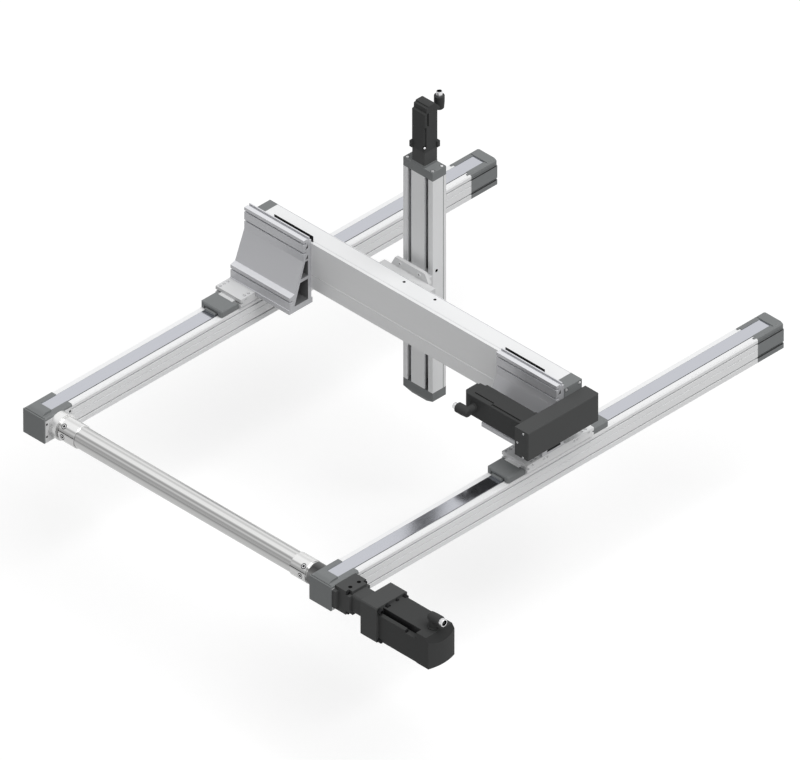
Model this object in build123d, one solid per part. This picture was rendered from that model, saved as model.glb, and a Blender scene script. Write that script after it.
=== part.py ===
from build123d import *
import os

# Multi axis linear system: two parallel belt driven X modules joined by a shaft, a screw driven
# Y module carried across them on two angle brackets, and a screw driven Z module on its carriage.
# Millimetres. The origin is the centre of the drive side X module's underside.
# X runs along the X modules, Y from the drive side module to the left one, and Z is up.

# Running clearances
SLIDE_GAP = 0.3
LEG_GAP = 0.4
SHAFT_GAP = 0.08
SEAT_GAP = 0.08
PLATE_GAP = 0.5

# T slots in the X profiles
SLOT_MOUTH = 5.0
SLOT_NECK = 3.0
SLOT_HEAD = 9.0
SLOT_HEAD_DEPTH = 4.5
SLOT_HEIGHTS = (16.3, 61.5)
GROOVE_WIDTH = 2.5
GROOVE_DEPTH = 1.5
GROOVE_HEIGHT = 42.0

# X modules
X_LENGTH = 1693.0
X_WIDTH = 80.0
X_SPACING = 1070.0
X_HEAD = 103.0
X_TAIL = 98.0
X_FLOOR = 3.5
X_WEB = 4.0
X_SIDE_WALL = 10.0
X_LIP = 6.0
X_CHAMFER = 3.5
STRIP_WIDTH = 40.6
STRIP_THICK = 1.0

# Belt drive inside the X modules
X_PULLEY_R = 31.7
X_BELT_WIDTH = 32.0
X_BELT_THICK = 2.4
X_BELT_ROOM = 1.5
X_TOP_ROOM = 2.2
BELT_SIDE_ROOM = 3.0
PULLEY_SHOULDER = 1.0
AXIS_IN = 53.0
STUB_R = 12.5
BEARING_R = 21.0
BEARING_WIDTH = 12.0
IDLER_PIN_R = 8.0
WHEEL_TEETH = 30

# Guide rails and blocks inside the X modules
X_RAIL_WIDTH = 20.0
X_RAIL_HEIGHT = 18.0
RAIL_WAIST = 8.0
RAIL_WAIST_HEIGHT = 10.0
RAIL_WAIST_SPREAD = 2.0
X_BLOCK_WIDTH = 40.0
X_BLOCK_HEIGHT = 30.0
X_BLOCK_LENGTH = 72.0
X_BLOCK_LIFT = 4.6
X_BLOCK_INSET = 6.0

# Head and tail covers of the X modules
END_PLATE = 4.0
COVER_SEAT_DROP = 6.0
COVER_RISE = 2.5
HUMP_END = 39.0
HUMP_RISE = 9.5
HUMP_HALF = 27.0
HUMP_FRONT = 12.0
HUMP_ROUND = 18.0
TAIL_ARM = 8.0
TAIL_ARM_HALF = 6.0
TAIL_CAP = 30.0
TAIL_CAP_HALF = 31.0
TAIL_CAP_RISE = 4.5
TAIL_CAP_EDGE = 2.0
TAIL_SEAT = 66.5
TAIL_COVER_INSET = 3.0
TAIL_GROOVE_LIFT = 2.5

# X carriages
CARRIAGE_LENGTH = 248.0
CARRIAGE_WIDTH = 95.0
CARRIAGE_PLATE = 24.5
CARRIAGE_SKIRT = 7.5
CARRIAGE_NECK_HALF = 35.0
CARRIAGE_LIFT = 1.6
CARRIAGE_EDGE = 10.0
END_SLOT_HEIGHT = 7.0
END_SLOT_DEPTH = 7.0
LEDGE_HALF = 26.0
LEDGE_LENGTH = 12.0
LEDGE_THICK = 8.0
TUNNEL_RISE = 3.0
LEG_THICK = 1.0
CAP_LENGTH = 64.0
CAP_WIDTH = 80.0
CAP_RISE = 12.5
CAP_LIP = 6.0
CAP_LIP_INSET = 2.0
CAP_CORNER = 4.0
CAP_EDGE = 3.0
CAP_MOUTH_DEPTH = 4.0
CAP_MOUTH_RISE = 10.0
CAP_POCKET = 6.0

# Angle brackets
BRACKET_LENGTH = 223.5
BRACKET_HEIGHT = 212.0
BRACKET_DEPTH = 80.0
BRACKET_WALL = 12.0
FOOT_THICK = 17.7
FOOT_SEAT = 6.7
FOOT_LIP = 4.5
FOOT_LIP_HEIGHT = 16.0
FOOT_STEP = 2.5
FOOT_STEP_HEIGHT = 12.5
NOSE_TOP = 52.0
NOSE_BACK = 64.0
SLOPE_LOW = 57.0
SLOPE_LOW_DEPTH = 62.5
SLOPE_TOP_DROP = 68.0
COLUMN_DEPTH = 28.0
HOLLOW_LOW_DEPTH = 63.0
HOLLOW_HIGH_DEPTH = 22.5
FIRST_WEB_LOW = 84.0
FIRST_WEB_HIGH = 93.5
HOLLOW_TOP_DROP = 69.0
SMALL_HOLLOWS = ((64.0, 50.0), (30.5, 17.5))
KEY_MOUTH = 5.0
KEY_DEPTH = 6.0
KEY_R = 3.5
KEY_DROPS = (42.0, 12.0)
NOSE_KEY_HEIGHT = 38.5
TOP_GROOVE_WIDTH = 5.0
TOP_GROOVE_DEPTH = 4.0
TOP_GROOVE_BACK = 9.5
REAR_RISE = 3.0
REAR_STEP = 8.0
STRIP_PLATE_INSET = 78.5
STRIP_PLATE_THICK = 4.0
STRIP_PLATE_HEIGHT = 18.0
STRIP_PLATE_BACK = 5.0

# Y module, a screw module on its side
Y_WIDTH = 145.0
Y_DEPTH = 65.0
Y_FLOOR = 12.0
Y_MID = 216.5
Y_FRONT_X = 11.5
Y_RIGHT_END = -49.5
Y_LEFT_END = 1114.0
Y_RIGHT_CAP = 40.0
Y_LEFT_CAP = 30.0
Y_RAIL_WIDTH = 15.0
Y_RAIL_HEIGHT = 15.0
Y_BLOCK_HEIGHT = 28.0
Y_SCREW_R = 10.0
Y_NUT_HALF = 19.0
Y_CARRIAGE_LENGTH = 190.0
Y_CARRIAGE_THICK = 19.5
Y_CARRIAGE_AT = 610.0
Y_SCREW_TAIL = 5.0

# Z module, hung on the Y carriage
Z_WIDTH = 110.0
Z_DEPTH = 50.0
Z_FLOOR = 8.0
Z_BOTTOM = -125.5
Z_TOP = 624.5
Z_TOP_BLOCK = 27.0
Z_END_CAP = 39.0
Z_BELLY = 12.0
Z_BELLY_SIDE = 28.0
Z_BELLY_FRONT = 5.0
Z_RAIL_WIDTH = 12.0
Z_RAIL_HEIGHT = 12.0
Z_BLOCK_HEIGHT = 24.0
Z_SCREW_R = 8.0
Z_NUT_HALF = 15.0
Z_CARRIAGE_LENGTH = 156.0
Z_CARRIAGE_THICK = 19.5

# Both screw modules
SIDE_WALL = 9.0
FRONT_LIP = 6.0
SLOT_EDGE = 16.5
CARRIAGE_SLOT = 11.0
BLOCK_LENGTH = 46.0
BLOCK_LIFT = 4.0
BLOCK_SIDE_GAP = 0.8
LEG_LENGTH = 150.0
LEG_OVERLAP = 0.5
NUT_LENGTH = 60.0
NUT_FLAT = 0.8
YOKE_BRIDGE = 3.4
SCREW_END_R = 6.0
THREAD_END_GAP = 2.0
LINE_WIDTH = 1.0
LINE_INSET = 10.0
POCKET_IN = 8.0
POCKET_R = 5.5
POCKET_DEPTH = 5.0
POCKET_SIDES = 12

# Cross plate between the Y and Z carriages
CROSS_THICK = 10.0
CROSS_WIDTH = 140.0
CROSS_HEIGHT = 199.0
CROSS_CUT_Y = 15.0
CROSS_CUT_Z = 27.0

# Connecting shaft
TUBE_R = 31.0
TUBE_WALL = 4.0
HUB_R = 34.0
HUB_LENGTH = 57.0
HUB_SLIT = 2.5
HUB_NOTCH_HALF = 7.0
HUB_NOTCH_OUT = 26.0
HUB_NOTCH_IN = 14.0
NECK_R = 27.0
NECK_LENGTH = 6.0
STUB_ROOM = 3.0
BOSS_R = 38.0
BOSS_LENGTH = 25.0
COLLAR_R = 33.0
COLLAR_LENGTH = 32.0

# X drive
MOUNT_SIZE = 76.0
MOUNT_LENGTH = 54.0
MOUNT_BORE_R = 22.0
MOUNT_CORNER = 12.0
MOUNT_CORNER_LENGTH = 14.0
MOUNT_HOLE_R = 3.5
MOUNT_HOLE_AT = 35.0
MOUNT_HOLE_HALF = 16.0
MOUNT_HOLE_DEPTH = 10.0
MOUNT_PAD_OUT = 11.0
MOUNT_PAD_LENGTH = 13.0
MOUNT_PAD_HALF = 27.0
GEARBOX_SIZE = 59.0
GEARBOX_LENGTH = 60.0
GEARBOX_ROUND = 10.0
WIDE_FLANGE = 115.0
WIDE_FLANGE_LOW = 52.5
WIDE_FLANGE_LENGTH = 58.0
WIDE_FLANGE_EDGE = 3.0
X_MOTOR_SIZE = 97.0
X_MOTOR_LENGTH = 140.0
X_MOTOR_COVER = 52.0
X_COVER_ARCH = 8.0
X_COVER_STEPS = 8
X_COVER_SLOPE_DEEP = 17.0
X_COVER_SLOPE_HIGH = 24.0

# Y side drive
BOX_FRONT_X = -173.8
BOX_REAR_X = 89.5
BOX_HEIGHT = 89.0
BOX_THICK = 50.0
BOX_COVER = 8.0
BOX_WALL = 8.0
BOX_EDGE = 2.0
BOX_SHAFT_ROOM = 4.0
Y_MOTOR_X = -110.0
SIDE_PULLEY_R = 20.0
SIDE_BELT_WIDTH = 16.0
SIDE_BELT_THICK = 2.0

# Small motors
Y_MOTOR_SIZE = 65.0
Z_MOTOR_SIZE = 48.7
Y_MOTOR_FLANGE = 67.0
Z_MOTOR_FLANGE = 58.0
MOTOR_FLANGE_THICK = 18.4
Y_MOTOR_LENGTH = 221.5
Z_MOTOR_LENGTH = 142.2
ADAPTER_SIZE = 48.0
ADAPTER_LENGTH = 49.0
ADAPTER_BORE_R = 15.0
MOTOR_EDGE = 1.5
MOTOR_GROOVE = 2.5
MOTOR_GROOVE_OUT = 0.34
Y_MOTOR_CAP = 26.0
Z_MOTOR_CAP = 22.0
MOTOR_CAP_STEP = 3.0
MOTOR_CAP_RISE = 8.5
MOTOR_CAP_TOP_IN = 10.7
SLEEVE_GAP = 2.0
SLEEVE_END = 4.0

# Plug sockets
SOCKET_SIDES = 24
SOCKET_STUB_R = 11.5
SOCKET_RISE = 30.0
SOCKET_BARREL_R = 14.5
SOCKET_LENGTH = 43.0
SOCKET_TIP_R = 9.0
SOCKET_TIP = 12.0
SOCKET_IN = 14.0
X_SOCKET_R = 14.0
X_SOCKET_RISE = 33.0
X_SOCKET_LENGTH = 42.0
X_SOCKET_TIP_R = 11.0
X_SOCKET_AFT = 15.0
SMALL_SOCKET_SIZES = (SOCKET_STUB_R, SOCKET_RISE, SOCKET_BARREL_R, SOCKET_LENGTH, SOCKET_TIP_R)
X_SOCKET_SIZES = (X_SOCKET_R, X_SOCKET_RISE, X_SOCKET_R, X_SOCKET_LENGTH, X_SOCKET_TIP_R)
Y_MOTOR_SIZES = (Y_MOTOR_SIZE, Y_MOTOR_FLANGE, Y_MOTOR_LENGTH, Y_MOTOR_CAP)
Z_MOTOR_SIZES = (Z_MOTOR_SIZE, Z_MOTOR_FLANGE, Z_MOTOR_LENGTH, Z_MOTOR_CAP)

# Places worked out from the sizes above
BELT_IN_R = X_PULLEY_R + SLIDE_GAP
BELT_OUT_R = BELT_IN_R + X_BELT_THICK
AXIS_UP = X_FLOOR + X_BELT_ROOM + BELT_OUT_R
X_HEIGHT = AXIS_UP + BELT_OUT_R + X_TOP_ROOM
X_START = -X_LENGTH / 2
X_END = X_LENGTH / 2
PROFILE_START = X_START + X_HEAD
PROFILE_END = X_END - X_TAIL
DRIVE_X = X_START + AXIS_IN
IDLER_X = X_END - AXIS_IN
CHAMBER_TOP = AXIS_UP - BELT_IN_R + X_BELT_ROOM
RAIL_SEAT = CHAMBER_TOP + X_WEB
SADDLE_FOOT = RAIL_SEAT + X_BLOCK_HEIGHT
SADDLE_TOP = AXIS_UP + BELT_IN_R - X_BELT_ROOM
BELT_HALF_ROOM = X_BELT_WIDTH / 2 + BELT_SIDE_ROOM
PULLEY_HALF = X_BELT_WIDTH / 2 + PULLEY_SHOULDER
LEG_INNER = STRIP_WIDTH / 2 + SLIDE_GAP
LEG_OUTER = LEG_INNER + LEG_THICK
LIP_INNER = LEG_OUTER + SLIDE_GAP
COVER_SEAT = X_HEIGHT - COVER_SEAT_DROP
CARRIAGE_FOOT = X_HEIGHT + CARRIAGE_LIFT
CARRIAGE_TOP = X_HEIGHT + CARRIAGE_SKIRT + CARRIAGE_PLATE
BRACKET_FOOT = CARRIAGE_TOP - (FOOT_THICK - FOOT_SEAT)
LEFT_Y = X_SPACING
Y_TOP = Y_MID + Y_WIDTH / 2
Y_PROFILE_START = Y_RIGHT_END + Y_RIGHT_CAP
Y_PROFILE_END = Y_LEFT_END - Y_LEFT_CAP
Y_SCREW_X = Y_FRONT_X + Y_DEPTH / 2
Y_CARRIAGE_FACE = Y_FRONT_X + Y_DEPTH + PLATE_GAP + Y_CARRIAGE_THICK
CROSS_FACE = Y_CARRIAGE_FACE + CROSS_THICK
Z_FACE_X = CROSS_FACE + Z_CARRIAGE_THICK + PLATE_GAP
Z_BACK_X = Z_FACE_X + Z_DEPTH
Z_SCREW_X = Z_BACK_X - Z_DEPTH / 2
Z_PROFILE_START = Z_BOTTOM + Z_END_CAP
Z_PROFILE_END = Z_TOP - Z_TOP_BLOCK
PLATE_FOOT = CARRIAGE_TOP - CARRIAGE_EDGE
SIDE_DRIVE_MIDDLE = Y_RIGHT_END - BOX_THICK / 2
SIDES = (0.0, LEFT_Y)

# Section planes: local x across the section, local y its depth or height, local z along the run
DRIVE_PLANE = Plane(origin=(0, 0, 0), x_dir=(0, 1, 0), z_dir=(1, 0, 0))
Y_PLANE = Plane(origin=(Y_FRONT_X, 0, Y_MID), x_dir=(0, 0, 1), z_dir=(0, 1, 0))
Z_PLANE = Plane(origin=(Z_BACK_X, Y_CARRIAGE_AT, 0), x_dir=(0, 1, 0), z_dir=(0, 0, 1))
SIDE_PLANE = Plane(origin=(0, 0, 0), x_dir=(-1, 0, 0), z_dir=(0, 1, 0))


def rect(x0, y0, x1, y1):
    """A rectangle between two corners of a section."""
    return Pos((x0 + x1) / 2, (y0 + y1) / 2) * Rectangle(abs(x1 - x0), abs(y1 - y0))


def block(x0, y0, z0, x1, y1, z1):
    """A box between two corners."""
    centre = ((x0 + x1) / 2, (y0 + y1) / 2, (z0 + z1) / 2)
    return Pos(*centre) * Box(abs(x1 - x0), abs(y1 - y0), abs(z1 - z0))


def run(plane, section, start, end):
    """A section carried along its plane's normal from start to end."""
    return extrude(plane.offset(start) * section, amount=end - start)


def rod(x, z, radius, y0, y1):
    """A round bar along Y."""
    plane = Plane(origin=(x, min(y0, y1), z), x_dir=(1, 0, 0), z_dir=(0, 1, 0))
    return extrude(plane * Circle(radius), amount=abs(y1 - y0))


def wheel(x, z, radius, y0, y1):
    """A belt wheel along Y, with a flat for each of its teeth."""
    plane = Plane(origin=(x, min(y0, y1), z), x_dir=(1, 0, 0), z_dir=(0, 1, 0))
    return extrude(plane * RegularPolygon(radius, WHEEL_TEETH), amount=abs(y1 - y0))


def racetrack(radius, x0, x1):
    """The outline of a belt round two pulleys that stand x0 and x1 along the section."""
    return Pos(x0, 0) * Circle(radius) + Pos(x1, 0) * Circle(radius) + rect(x0, -radius, x1, radius)


def t_slot(x, y, angle):
    """A T slot in section, open at its place and cut inwards at the angle."""
    neck = rect(-1, -SLOT_MOUTH / 2, SLOT_NECK, SLOT_MOUTH / 2)
    head = rect(SLOT_NECK, -SLOT_HEAD / 2, SLOT_NECK + SLOT_HEAD_DEPTH, SLOT_HEAD / 2)
    return Pos(x, y) * Rot(0, 0, angle) * (neck + head)


def key_slot(x, y):
    """A narrow slot that ends in a round screw channel, cut backwards."""
    mouth = rect(-1, -KEY_MOUTH / 2, KEY_DEPTH, KEY_MOUTH / 2)
    return Pos(x, y) * Rot(0, 0, 180) * (mouth + Pos(KEY_DEPTH, 0) * Circle(KEY_R))


def mirrored(section):
    """A section and its mirror image about the middle line."""
    return section + mirror(section, about=Plane.YZ)


def x_profile(y):
    """The extruded profile of one X module, open on top between its two lips."""
    half = X_WIDTH / 2
    inner = half - X_SIDE_WALL
    section = Pos(0, X_HEIGHT / 2) * Rectangle(X_WIDTH, X_HEIGHT)
    top_corners = section.vertices().group_by(Axis.Y)[-1]
    section = chamfer(top_corners, X_CHAMFER)
    section -= rect(-inner, RAIL_SEAT, inner, X_HEIGHT - X_LIP)
    section -= rect(-LIP_INNER, X_HEIGHT - X_LIP, LIP_INNER, X_HEIGHT)
    section -= rect(-BELT_HALF_ROOM, X_FLOOR, BELT_HALF_ROOM, CHAMBER_TOP)
    groove_low = GROOVE_HEIGHT - GROOVE_WIDTH / 2
    slots = rect(half - GROOVE_DEPTH, groove_low, half, groove_low + GROOVE_WIDTH)
    for height in SLOT_HEIGHTS:
        slots += t_slot(half, height, 180)
    section -= mirrored(slots)
    return Pos(0, y, 0) * run(DRIVE_PLANE, section, PROFILE_START, PROFILE_END)


def x_rail(y):
    """The guide rail on the floor of one X profile."""
    half = X_RAIL_WIDTH / 2
    top = RAIL_SEAT + X_RAIL_HEIGHT
    middle = RAIL_SEAT + RAIL_WAIST_HEIGHT
    low = middle - RAIL_WAIST_SPREAD
    high = middle + RAIL_WAIST_SPREAD
    points = [(0, RAIL_SEAT), (half, RAIL_SEAT), (half, low), (RAIL_WAIST, middle)]
    points += [(half, high), (half, top), (0, top)]
    section = mirrored(Polygon(*points, align=None))
    return Pos(0, y, 0) * run(DRIVE_PLANE, section, PROFILE_START, PROFILE_END)


def x_strip(y):
    """The steel cover strip of one X module, from its head hump to its tail cap."""
    half = STRIP_WIDTH / 2
    start = X_START + HUMP_END
    return block(start, y - half, X_HEIGHT, X_END - TAIL_CAP, y + half, X_HEIGHT + STRIP_THICK)


def x_belt(y):
    """The toothed belt of one X module as a closed band."""
    band = racetrack(BELT_OUT_R, -IDLER_X, -DRIVE_X) - racetrack(BELT_IN_R, -IDLER_X, -DRIVE_X)
    plane = Plane(origin=(0, y - X_BELT_WIDTH / 2, AXIS_UP), x_dir=(-1, 0, 0), z_dir=(0, 1, 0))
    return extrude(plane * band, amount=X_BELT_WIDTH)


def belt_room(x0, x1, y):
    """The space for the belt and its pulley in a head or tail block, open on top."""
    return block(x0, y - BELT_HALF_ROOM, X_FLOOR, x1, y + BELT_HALF_ROOM, COVER_SEAT)


def x_head(y):
    """The machined block that carries the drive pulley in two bearings."""
    half = X_WIDTH / 2
    body = block(X_START + END_PLATE, y - half, 0, PROFILE_START, y + half, COVER_SEAT)
    body -= belt_room(DRIVE_X - BELT_OUT_R - X_BELT_ROOM, PROFILE_START, y)
    closed = BELT_HALF_ROOM + BEARING_WIDTH + SHAFT_GAP
    if y == 0:
        body -= rod(DRIVE_X, AXIS_UP, BEARING_R, y - half, y + half)
    else:
        body -= rod(DRIVE_X, AXIS_UP, BEARING_R, y - half, y + closed)
    return body


def x_head_cover(y):
    """The dark end plate of one head with the hump and the two arms over the belt."""
    half = X_WIDTH / 2
    top = X_HEIGHT + COVER_RISE
    arm = rect(STRIP_WIDTH / 2, COVER_SEAT, half, top)
    outer = arm.vertices().sort_by(Axis.X)[-2:].sort_by(Axis.Y)[-1]
    arm = chamfer(outer, X_CHAMFER)
    arms = run(DRIVE_PLANE, mirrored(arm), X_START + END_PLATE, PROFILE_START)
    plate = block(X_START, -half, 0, X_START + END_PLATE, half, X_HEIGHT)
    start = X_START + END_PLATE
    end = X_START + HUMP_END
    slab_foot = X_HEIGHT - X_TOP_ROOM / 2
    points = [(-start, slab_foot), (-start, top), (-start - HUMP_FRONT, X_HEIGHT + HUMP_RISE)]
    points += [(-end, X_HEIGHT + HUMP_RISE), (-end, slab_foot)]
    section = Polygon(*points, align=None)
    front = section.vertices().sort_by_distance((-start - HUMP_FRONT, X_HEIGHT + HUMP_RISE))[0]
    hump = run(SIDE_PLANE, fillet(front, HUMP_ROUND), -HUMP_HALF, HUMP_HALF)
    return Pos(0, y, 0) * (arms + plate + hump)


def x_tail(y):
    """The dark block that carries the idler pulley on its fixed pin."""
    half = X_WIDTH / 2
    section = rect(-half, 0, half, TAIL_SEAT)
    low = SLOT_HEIGHTS[0] + TAIL_GROOVE_LIFT - SLOT_MOUTH / 2
    grooves = rect(half - SLOT_NECK, low, half, low + SLOT_MOUTH)
    grooves += rect(half - SLOT_NECK, TAIL_SEAT - SLOT_MOUTH, half, TAIL_SEAT)
    section -= mirrored(grooves)
    body = Pos(0, y, 0) * run(DRIVE_PLANE, section, PROFILE_END, X_END)
    body -= belt_room(PROFILE_END, IDLER_X + BELT_OUT_R + X_BELT_ROOM, y)
    return body + rod(IDLER_X, AXIS_UP, IDLER_PIN_R, y - BELT_HALF_ROOM, y + BELT_HALF_ROOM)


def x_tail_cover(y):
    """The dark cover of one tail: two arms beside the strip and a raised cap."""
    half = X_WIDTH / 2
    top = X_HEIGHT + COVER_RISE
    outer_side = half - TAIL_COVER_INSET
    arm = rect(BELT_HALF_ROOM, TAIL_SEAT, outer_side, X_HEIGHT)
    arm += rect(STRIP_WIDTH / 2, X_HEIGHT, outer_side, top)
    outer = arm.vertices().sort_by(Axis.X)[-2:].sort_by(Axis.Y)[-1]
    arm = chamfer(outer, X_CHAMFER)
    arms = run(DRIVE_PLANE, mirrored(arm), PROFILE_END, X_END)
    tip_side = outer_side - X_CHAMFER
    tip = rect(tip_side - TAIL_ARM_HALF, X_HEIGHT, tip_side, top)
    tips = run(DRIVE_PLANE, mirrored(tip), PROFILE_END - TAIL_ARM, PROFILE_END)
    start = X_END - TAIL_CAP
    slab_foot = X_HEIGHT - X_TOP_ROOM / 2
    cap_section = rect(-TAIL_CAP_HALF, slab_foot, TAIL_CAP_HALF, X_HEIGHT + TAIL_CAP_RISE)
    cap_corners = cap_section.vertices().group_by(Axis.Y)[-1]
    cap_section = chamfer(cap_corners, TAIL_CAP_EDGE)
    cap = run(DRIVE_PLANE, cap_section, start, X_END)
    return Pos(0, y, 0) * (arms + tips + cap)


def head_bearings(y):
    """The two ball bearings of one drive pulley, as plain rings."""
    rings = []
    for side in (-1, 1):
        near = y + side * (BELT_HALF_ROOM + SHAFT_GAP)
        far = y + side * (BELT_HALF_ROOM + BEARING_WIDTH)
        ring = rod(DRIVE_X, AXIS_UP, BEARING_R - SEAT_GAP, near, far)
        rings.append(ring - rod(DRIVE_X, AXIS_UP, STUB_R + SHAFT_GAP, near, far))
    return rings


def drive_pulley(y, reach_low, reach_high):
    """A drive pulley with the shaft stubs that run in the head's bearings."""
    toothed = wheel(DRIVE_X, AXIS_UP, X_PULLEY_R, y - PULLEY_HALF, y + PULLEY_HALF)
    return toothed + rod(DRIVE_X, AXIS_UP, STUB_R, reach_low, reach_high)


def idler(y):
    """An idler pulley on its pin in the tail."""
    toothed = wheel(IDLER_X, AXIS_UP, X_PULLEY_R, y - PULLEY_HALF, y + PULLEY_HALF)
    return toothed - rod(IDLER_X, AXIS_UP, IDLER_PIN_R + SHAFT_GAP, y - PULLEY_HALF, y + PULLEY_HALF)


def x_carriage(y):
    """One X carriage: plate, neck and the saddle that reaches in past the strip, with a ledge at each end."""
    half = CARRIAGE_WIDTH / 2
    end = CARRIAGE_LENGTH / 2
    skirt_foot = CARRIAGE_TOP - CARRIAGE_PLATE
    section = rect(-half, skirt_foot, half, CARRIAGE_TOP)
    section += rect(-CARRIAGE_NECK_HALF, CARRIAGE_FOOT, CARRIAGE_NECK_HALF, skirt_foot)
    section += rect(-LEG_OUTER, SADDLE_FOOT, LEG_OUTER, CARRIAGE_FOOT)
    section -= rect(-LEG_INNER, SADDLE_TOP, LEG_INNER, X_HEIGHT + TUNNEL_RISE + STRIP_THICK)
    body = run(DRIVE_PLANE, section, -end, end)
    slot = rect(end - END_SLOT_DEPTH, PLATE_FOOT - END_SLOT_HEIGHT, end, PLATE_FOOT)
    body -= run(SIDE_PLANE, mirrored(slot), -half, half)
    reach = end + LEDGE_LENGTH
    ledge = rect(end - END_SLOT_DEPTH, PLATE_FOOT - LEDGE_THICK, reach, PLATE_FOOT)
    return Pos(0, y, 0) * (body + run(SIDE_PLANE, mirrored(ledge), -LEDGE_HALF, LEDGE_HALF))


def carriage_caps(y):
    """The two dark caps that lead the strip into and out of one carriage."""
    half = CAP_WIDTH / 2
    start = CARRIAGE_LENGTH / 2
    end = start + CAP_LENGTH
    low = CARRIAGE_FOOT
    top = X_HEIGHT + STRIP_THICK + CAP_RISE + CARRIAGE_SKIRT
    body = block(start, -half, low, end, half, top)
    body = chamfer(body.edges().filter_by(Axis.Z).group_by(Axis.X)[-1], CAP_CORNER)
    rear = body.faces().sort_by(Axis.X)[0].edges()
    rim = [edge for edge in body.faces().sort_by(Axis.Z)[-1].edges() if edge not in rear]
    body = chamfer(rim, CAP_EDGE)
    body -= block(start, -LEG_OUTER, low, end, LEG_OUTER, X_HEIGHT + STRIP_THICK + TUNNEL_RISE)
    body -= block(end - CAP_MOUTH_DEPTH, -LEDGE_HALF, low, end, LEDGE_HALF, low + CAP_MOUTH_RISE)
    body -= block(start, -LEDGE_HALF, PLATE_FOOT - LEDGE_THICK, start + LEDGE_LENGTH, LEDGE_HALF, top)
    body -= block(start, -half, PLATE_FOOT - END_SLOT_HEIGHT, start + CAP_POCKET, half, top)
    lip_half = STRIP_WIDTH / 2 - CAP_LIP_INSET
    lip_low = X_HEIGHT + STRIP_THICK + 2 * SLIDE_GAP
    lip_start = end - CAP_MOUTH_DEPTH - CAP_LIP
    lip = block(lip_start, -lip_half, lip_low, end + CAP_LIP, lip_half, lip_low + 2 * TUNNEL_RISE)
    front = body + lip
    caps = [front, mirror(front, about=Plane.YZ)]
    return [Pos(0, y, 0) * cap for cap in caps]


def x_guide_blocks(y):
    """The two guide blocks that carry one X carriage on its rail."""
    half = X_BLOCK_WIDTH / 2
    room = X_RAIL_WIDTH / 2 + SLIDE_GAP
    section = rect(-half, RAIL_SEAT + X_BLOCK_LIFT, half, SADDLE_FOOT)
    section -= rect(-room, RAIL_SEAT, room, RAIL_SEAT + X_RAIL_HEIGHT + SLIDE_GAP)
    blocks = []
    for side in (-1, 1):
        centre = side * (CARRIAGE_LENGTH / 2 - X_BLOCK_LENGTH / 2 - X_BLOCK_INSET)
        piece = run(DRIVE_PLANE, section, centre - X_BLOCK_LENGTH / 2, centre + X_BLOCK_LENGTH / 2)
        blocks.append(Pos(0, y, 0) * piece)
    return blocks


def bracket_outline():
    """The outer line of an angle bracket's section, from its back towards the front."""
    high = BRACKET_HEIGHT - SLOPE_TOP_DROP
    rear = BRACKET_HEIGHT + REAR_RISE
    rear_foot = BRACKET_HEIGHT - REAR_STEP
    toe = BRACKET_DEPTH + FOOT_STEP
    outline = [(-FOOT_LIP, 0), (toe, 0), (toe, FOOT_STEP_HEIGHT)]
    outline += [(BRACKET_DEPTH, FOOT_STEP_HEIGHT), (BRACKET_DEPTH, NOSE_TOP)]
    outline += [(NOSE_BACK, SLOPE_LOW), (SLOPE_LOW_DEPTH, SLOPE_LOW)]
    outline += [(COLUMN_DEPTH, high), (COLUMN_DEPTH, BRACKET_HEIGHT)]
    outline += [(TOP_GROOVE_BACK, BRACKET_HEIGHT), (TOP_GROOVE_BACK, rear), (BRACKET_WALL / 2, rear)]
    outline += [(BRACKET_WALL / 2, rear_foot), (0, rear_foot)]
    outline += [(0, FOOT_LIP_HEIGHT), (-FOOT_LIP, FOOT_LIP_HEIGHT)]
    return Polygon(*outline, align=None)


def hollow_depth(height):
    """How far a large hollow reaches forwards at a height."""
    top = BRACKET_HEIGHT - HOLLOW_TOP_DROP
    part = (height - FOOT_THICK) / (top - FOOT_THICK)
    return HOLLOW_LOW_DEPTH - part * (HOLLOW_LOW_DEPTH - HOLLOW_HIGH_DEPTH)


def bracket_section():
    """The hollow section of an angle bracket."""
    section = bracket_outline()
    groove_low = BRACKET_HEIGHT - TOP_GROOVE_DEPTH
    section -= rect(TOP_GROOVE_BACK, groove_low, TOP_GROOVE_BACK + TOP_GROOVE_WIDTH, BRACKET_HEIGHT)
    section -= key_slot(BRACKET_DEPTH, NOSE_KEY_HEIGHT)
    for drop in KEY_DROPS:
        section -= key_slot(COLUMN_DEPTH, BRACKET_HEIGHT - drop)
    hollows = ((FOOT_THICK, FIRST_WEB_LOW), (FIRST_WEB_HIGH, BRACKET_HEIGHT - HOLLOW_TOP_DROP))
    for low, high in hollows:
        back = [(BRACKET_WALL, high), (BRACKET_WALL, low)]
        section -= Polygon(*back, (hollow_depth(low), low), (hollow_depth(high), high), align=None)
    for low_drop, high_drop in SMALL_HOLLOWS:
        low = BRACKET_HEIGHT - low_drop
        high = BRACKET_HEIGHT - high_drop
        section -= Polygon((BRACKET_WALL, low), (HOLLOW_HIGH_DEPTH, low), (BRACKET_WALL, high), align=None)
    return section


def bracket(outer_end, inward):
    """One angle bracket, with its foot milled out over the carriage it stands on."""
    start = min(outer_end, outer_end + inward * BRACKET_LENGTH)
    plane = Plane(origin=(Y_FRONT_X, start, BRACKET_FOOT), x_dir=(-1, 0, 0), z_dir=(0, 1, 0))
    body = extrude(plane * bracket_section(), amount=BRACKET_LENGTH)
    seat_end = outer_end + inward * (CARRIAGE_WIDTH + SLIDE_GAP)
    toe = Y_FRONT_X - BRACKET_DEPTH - FOOT_STEP
    heel = Y_FRONT_X + FOOT_LIP
    return body - block(toe, outer_end, BRACKET_FOOT, heel, seat_end, CARRIAGE_TOP)


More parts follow.
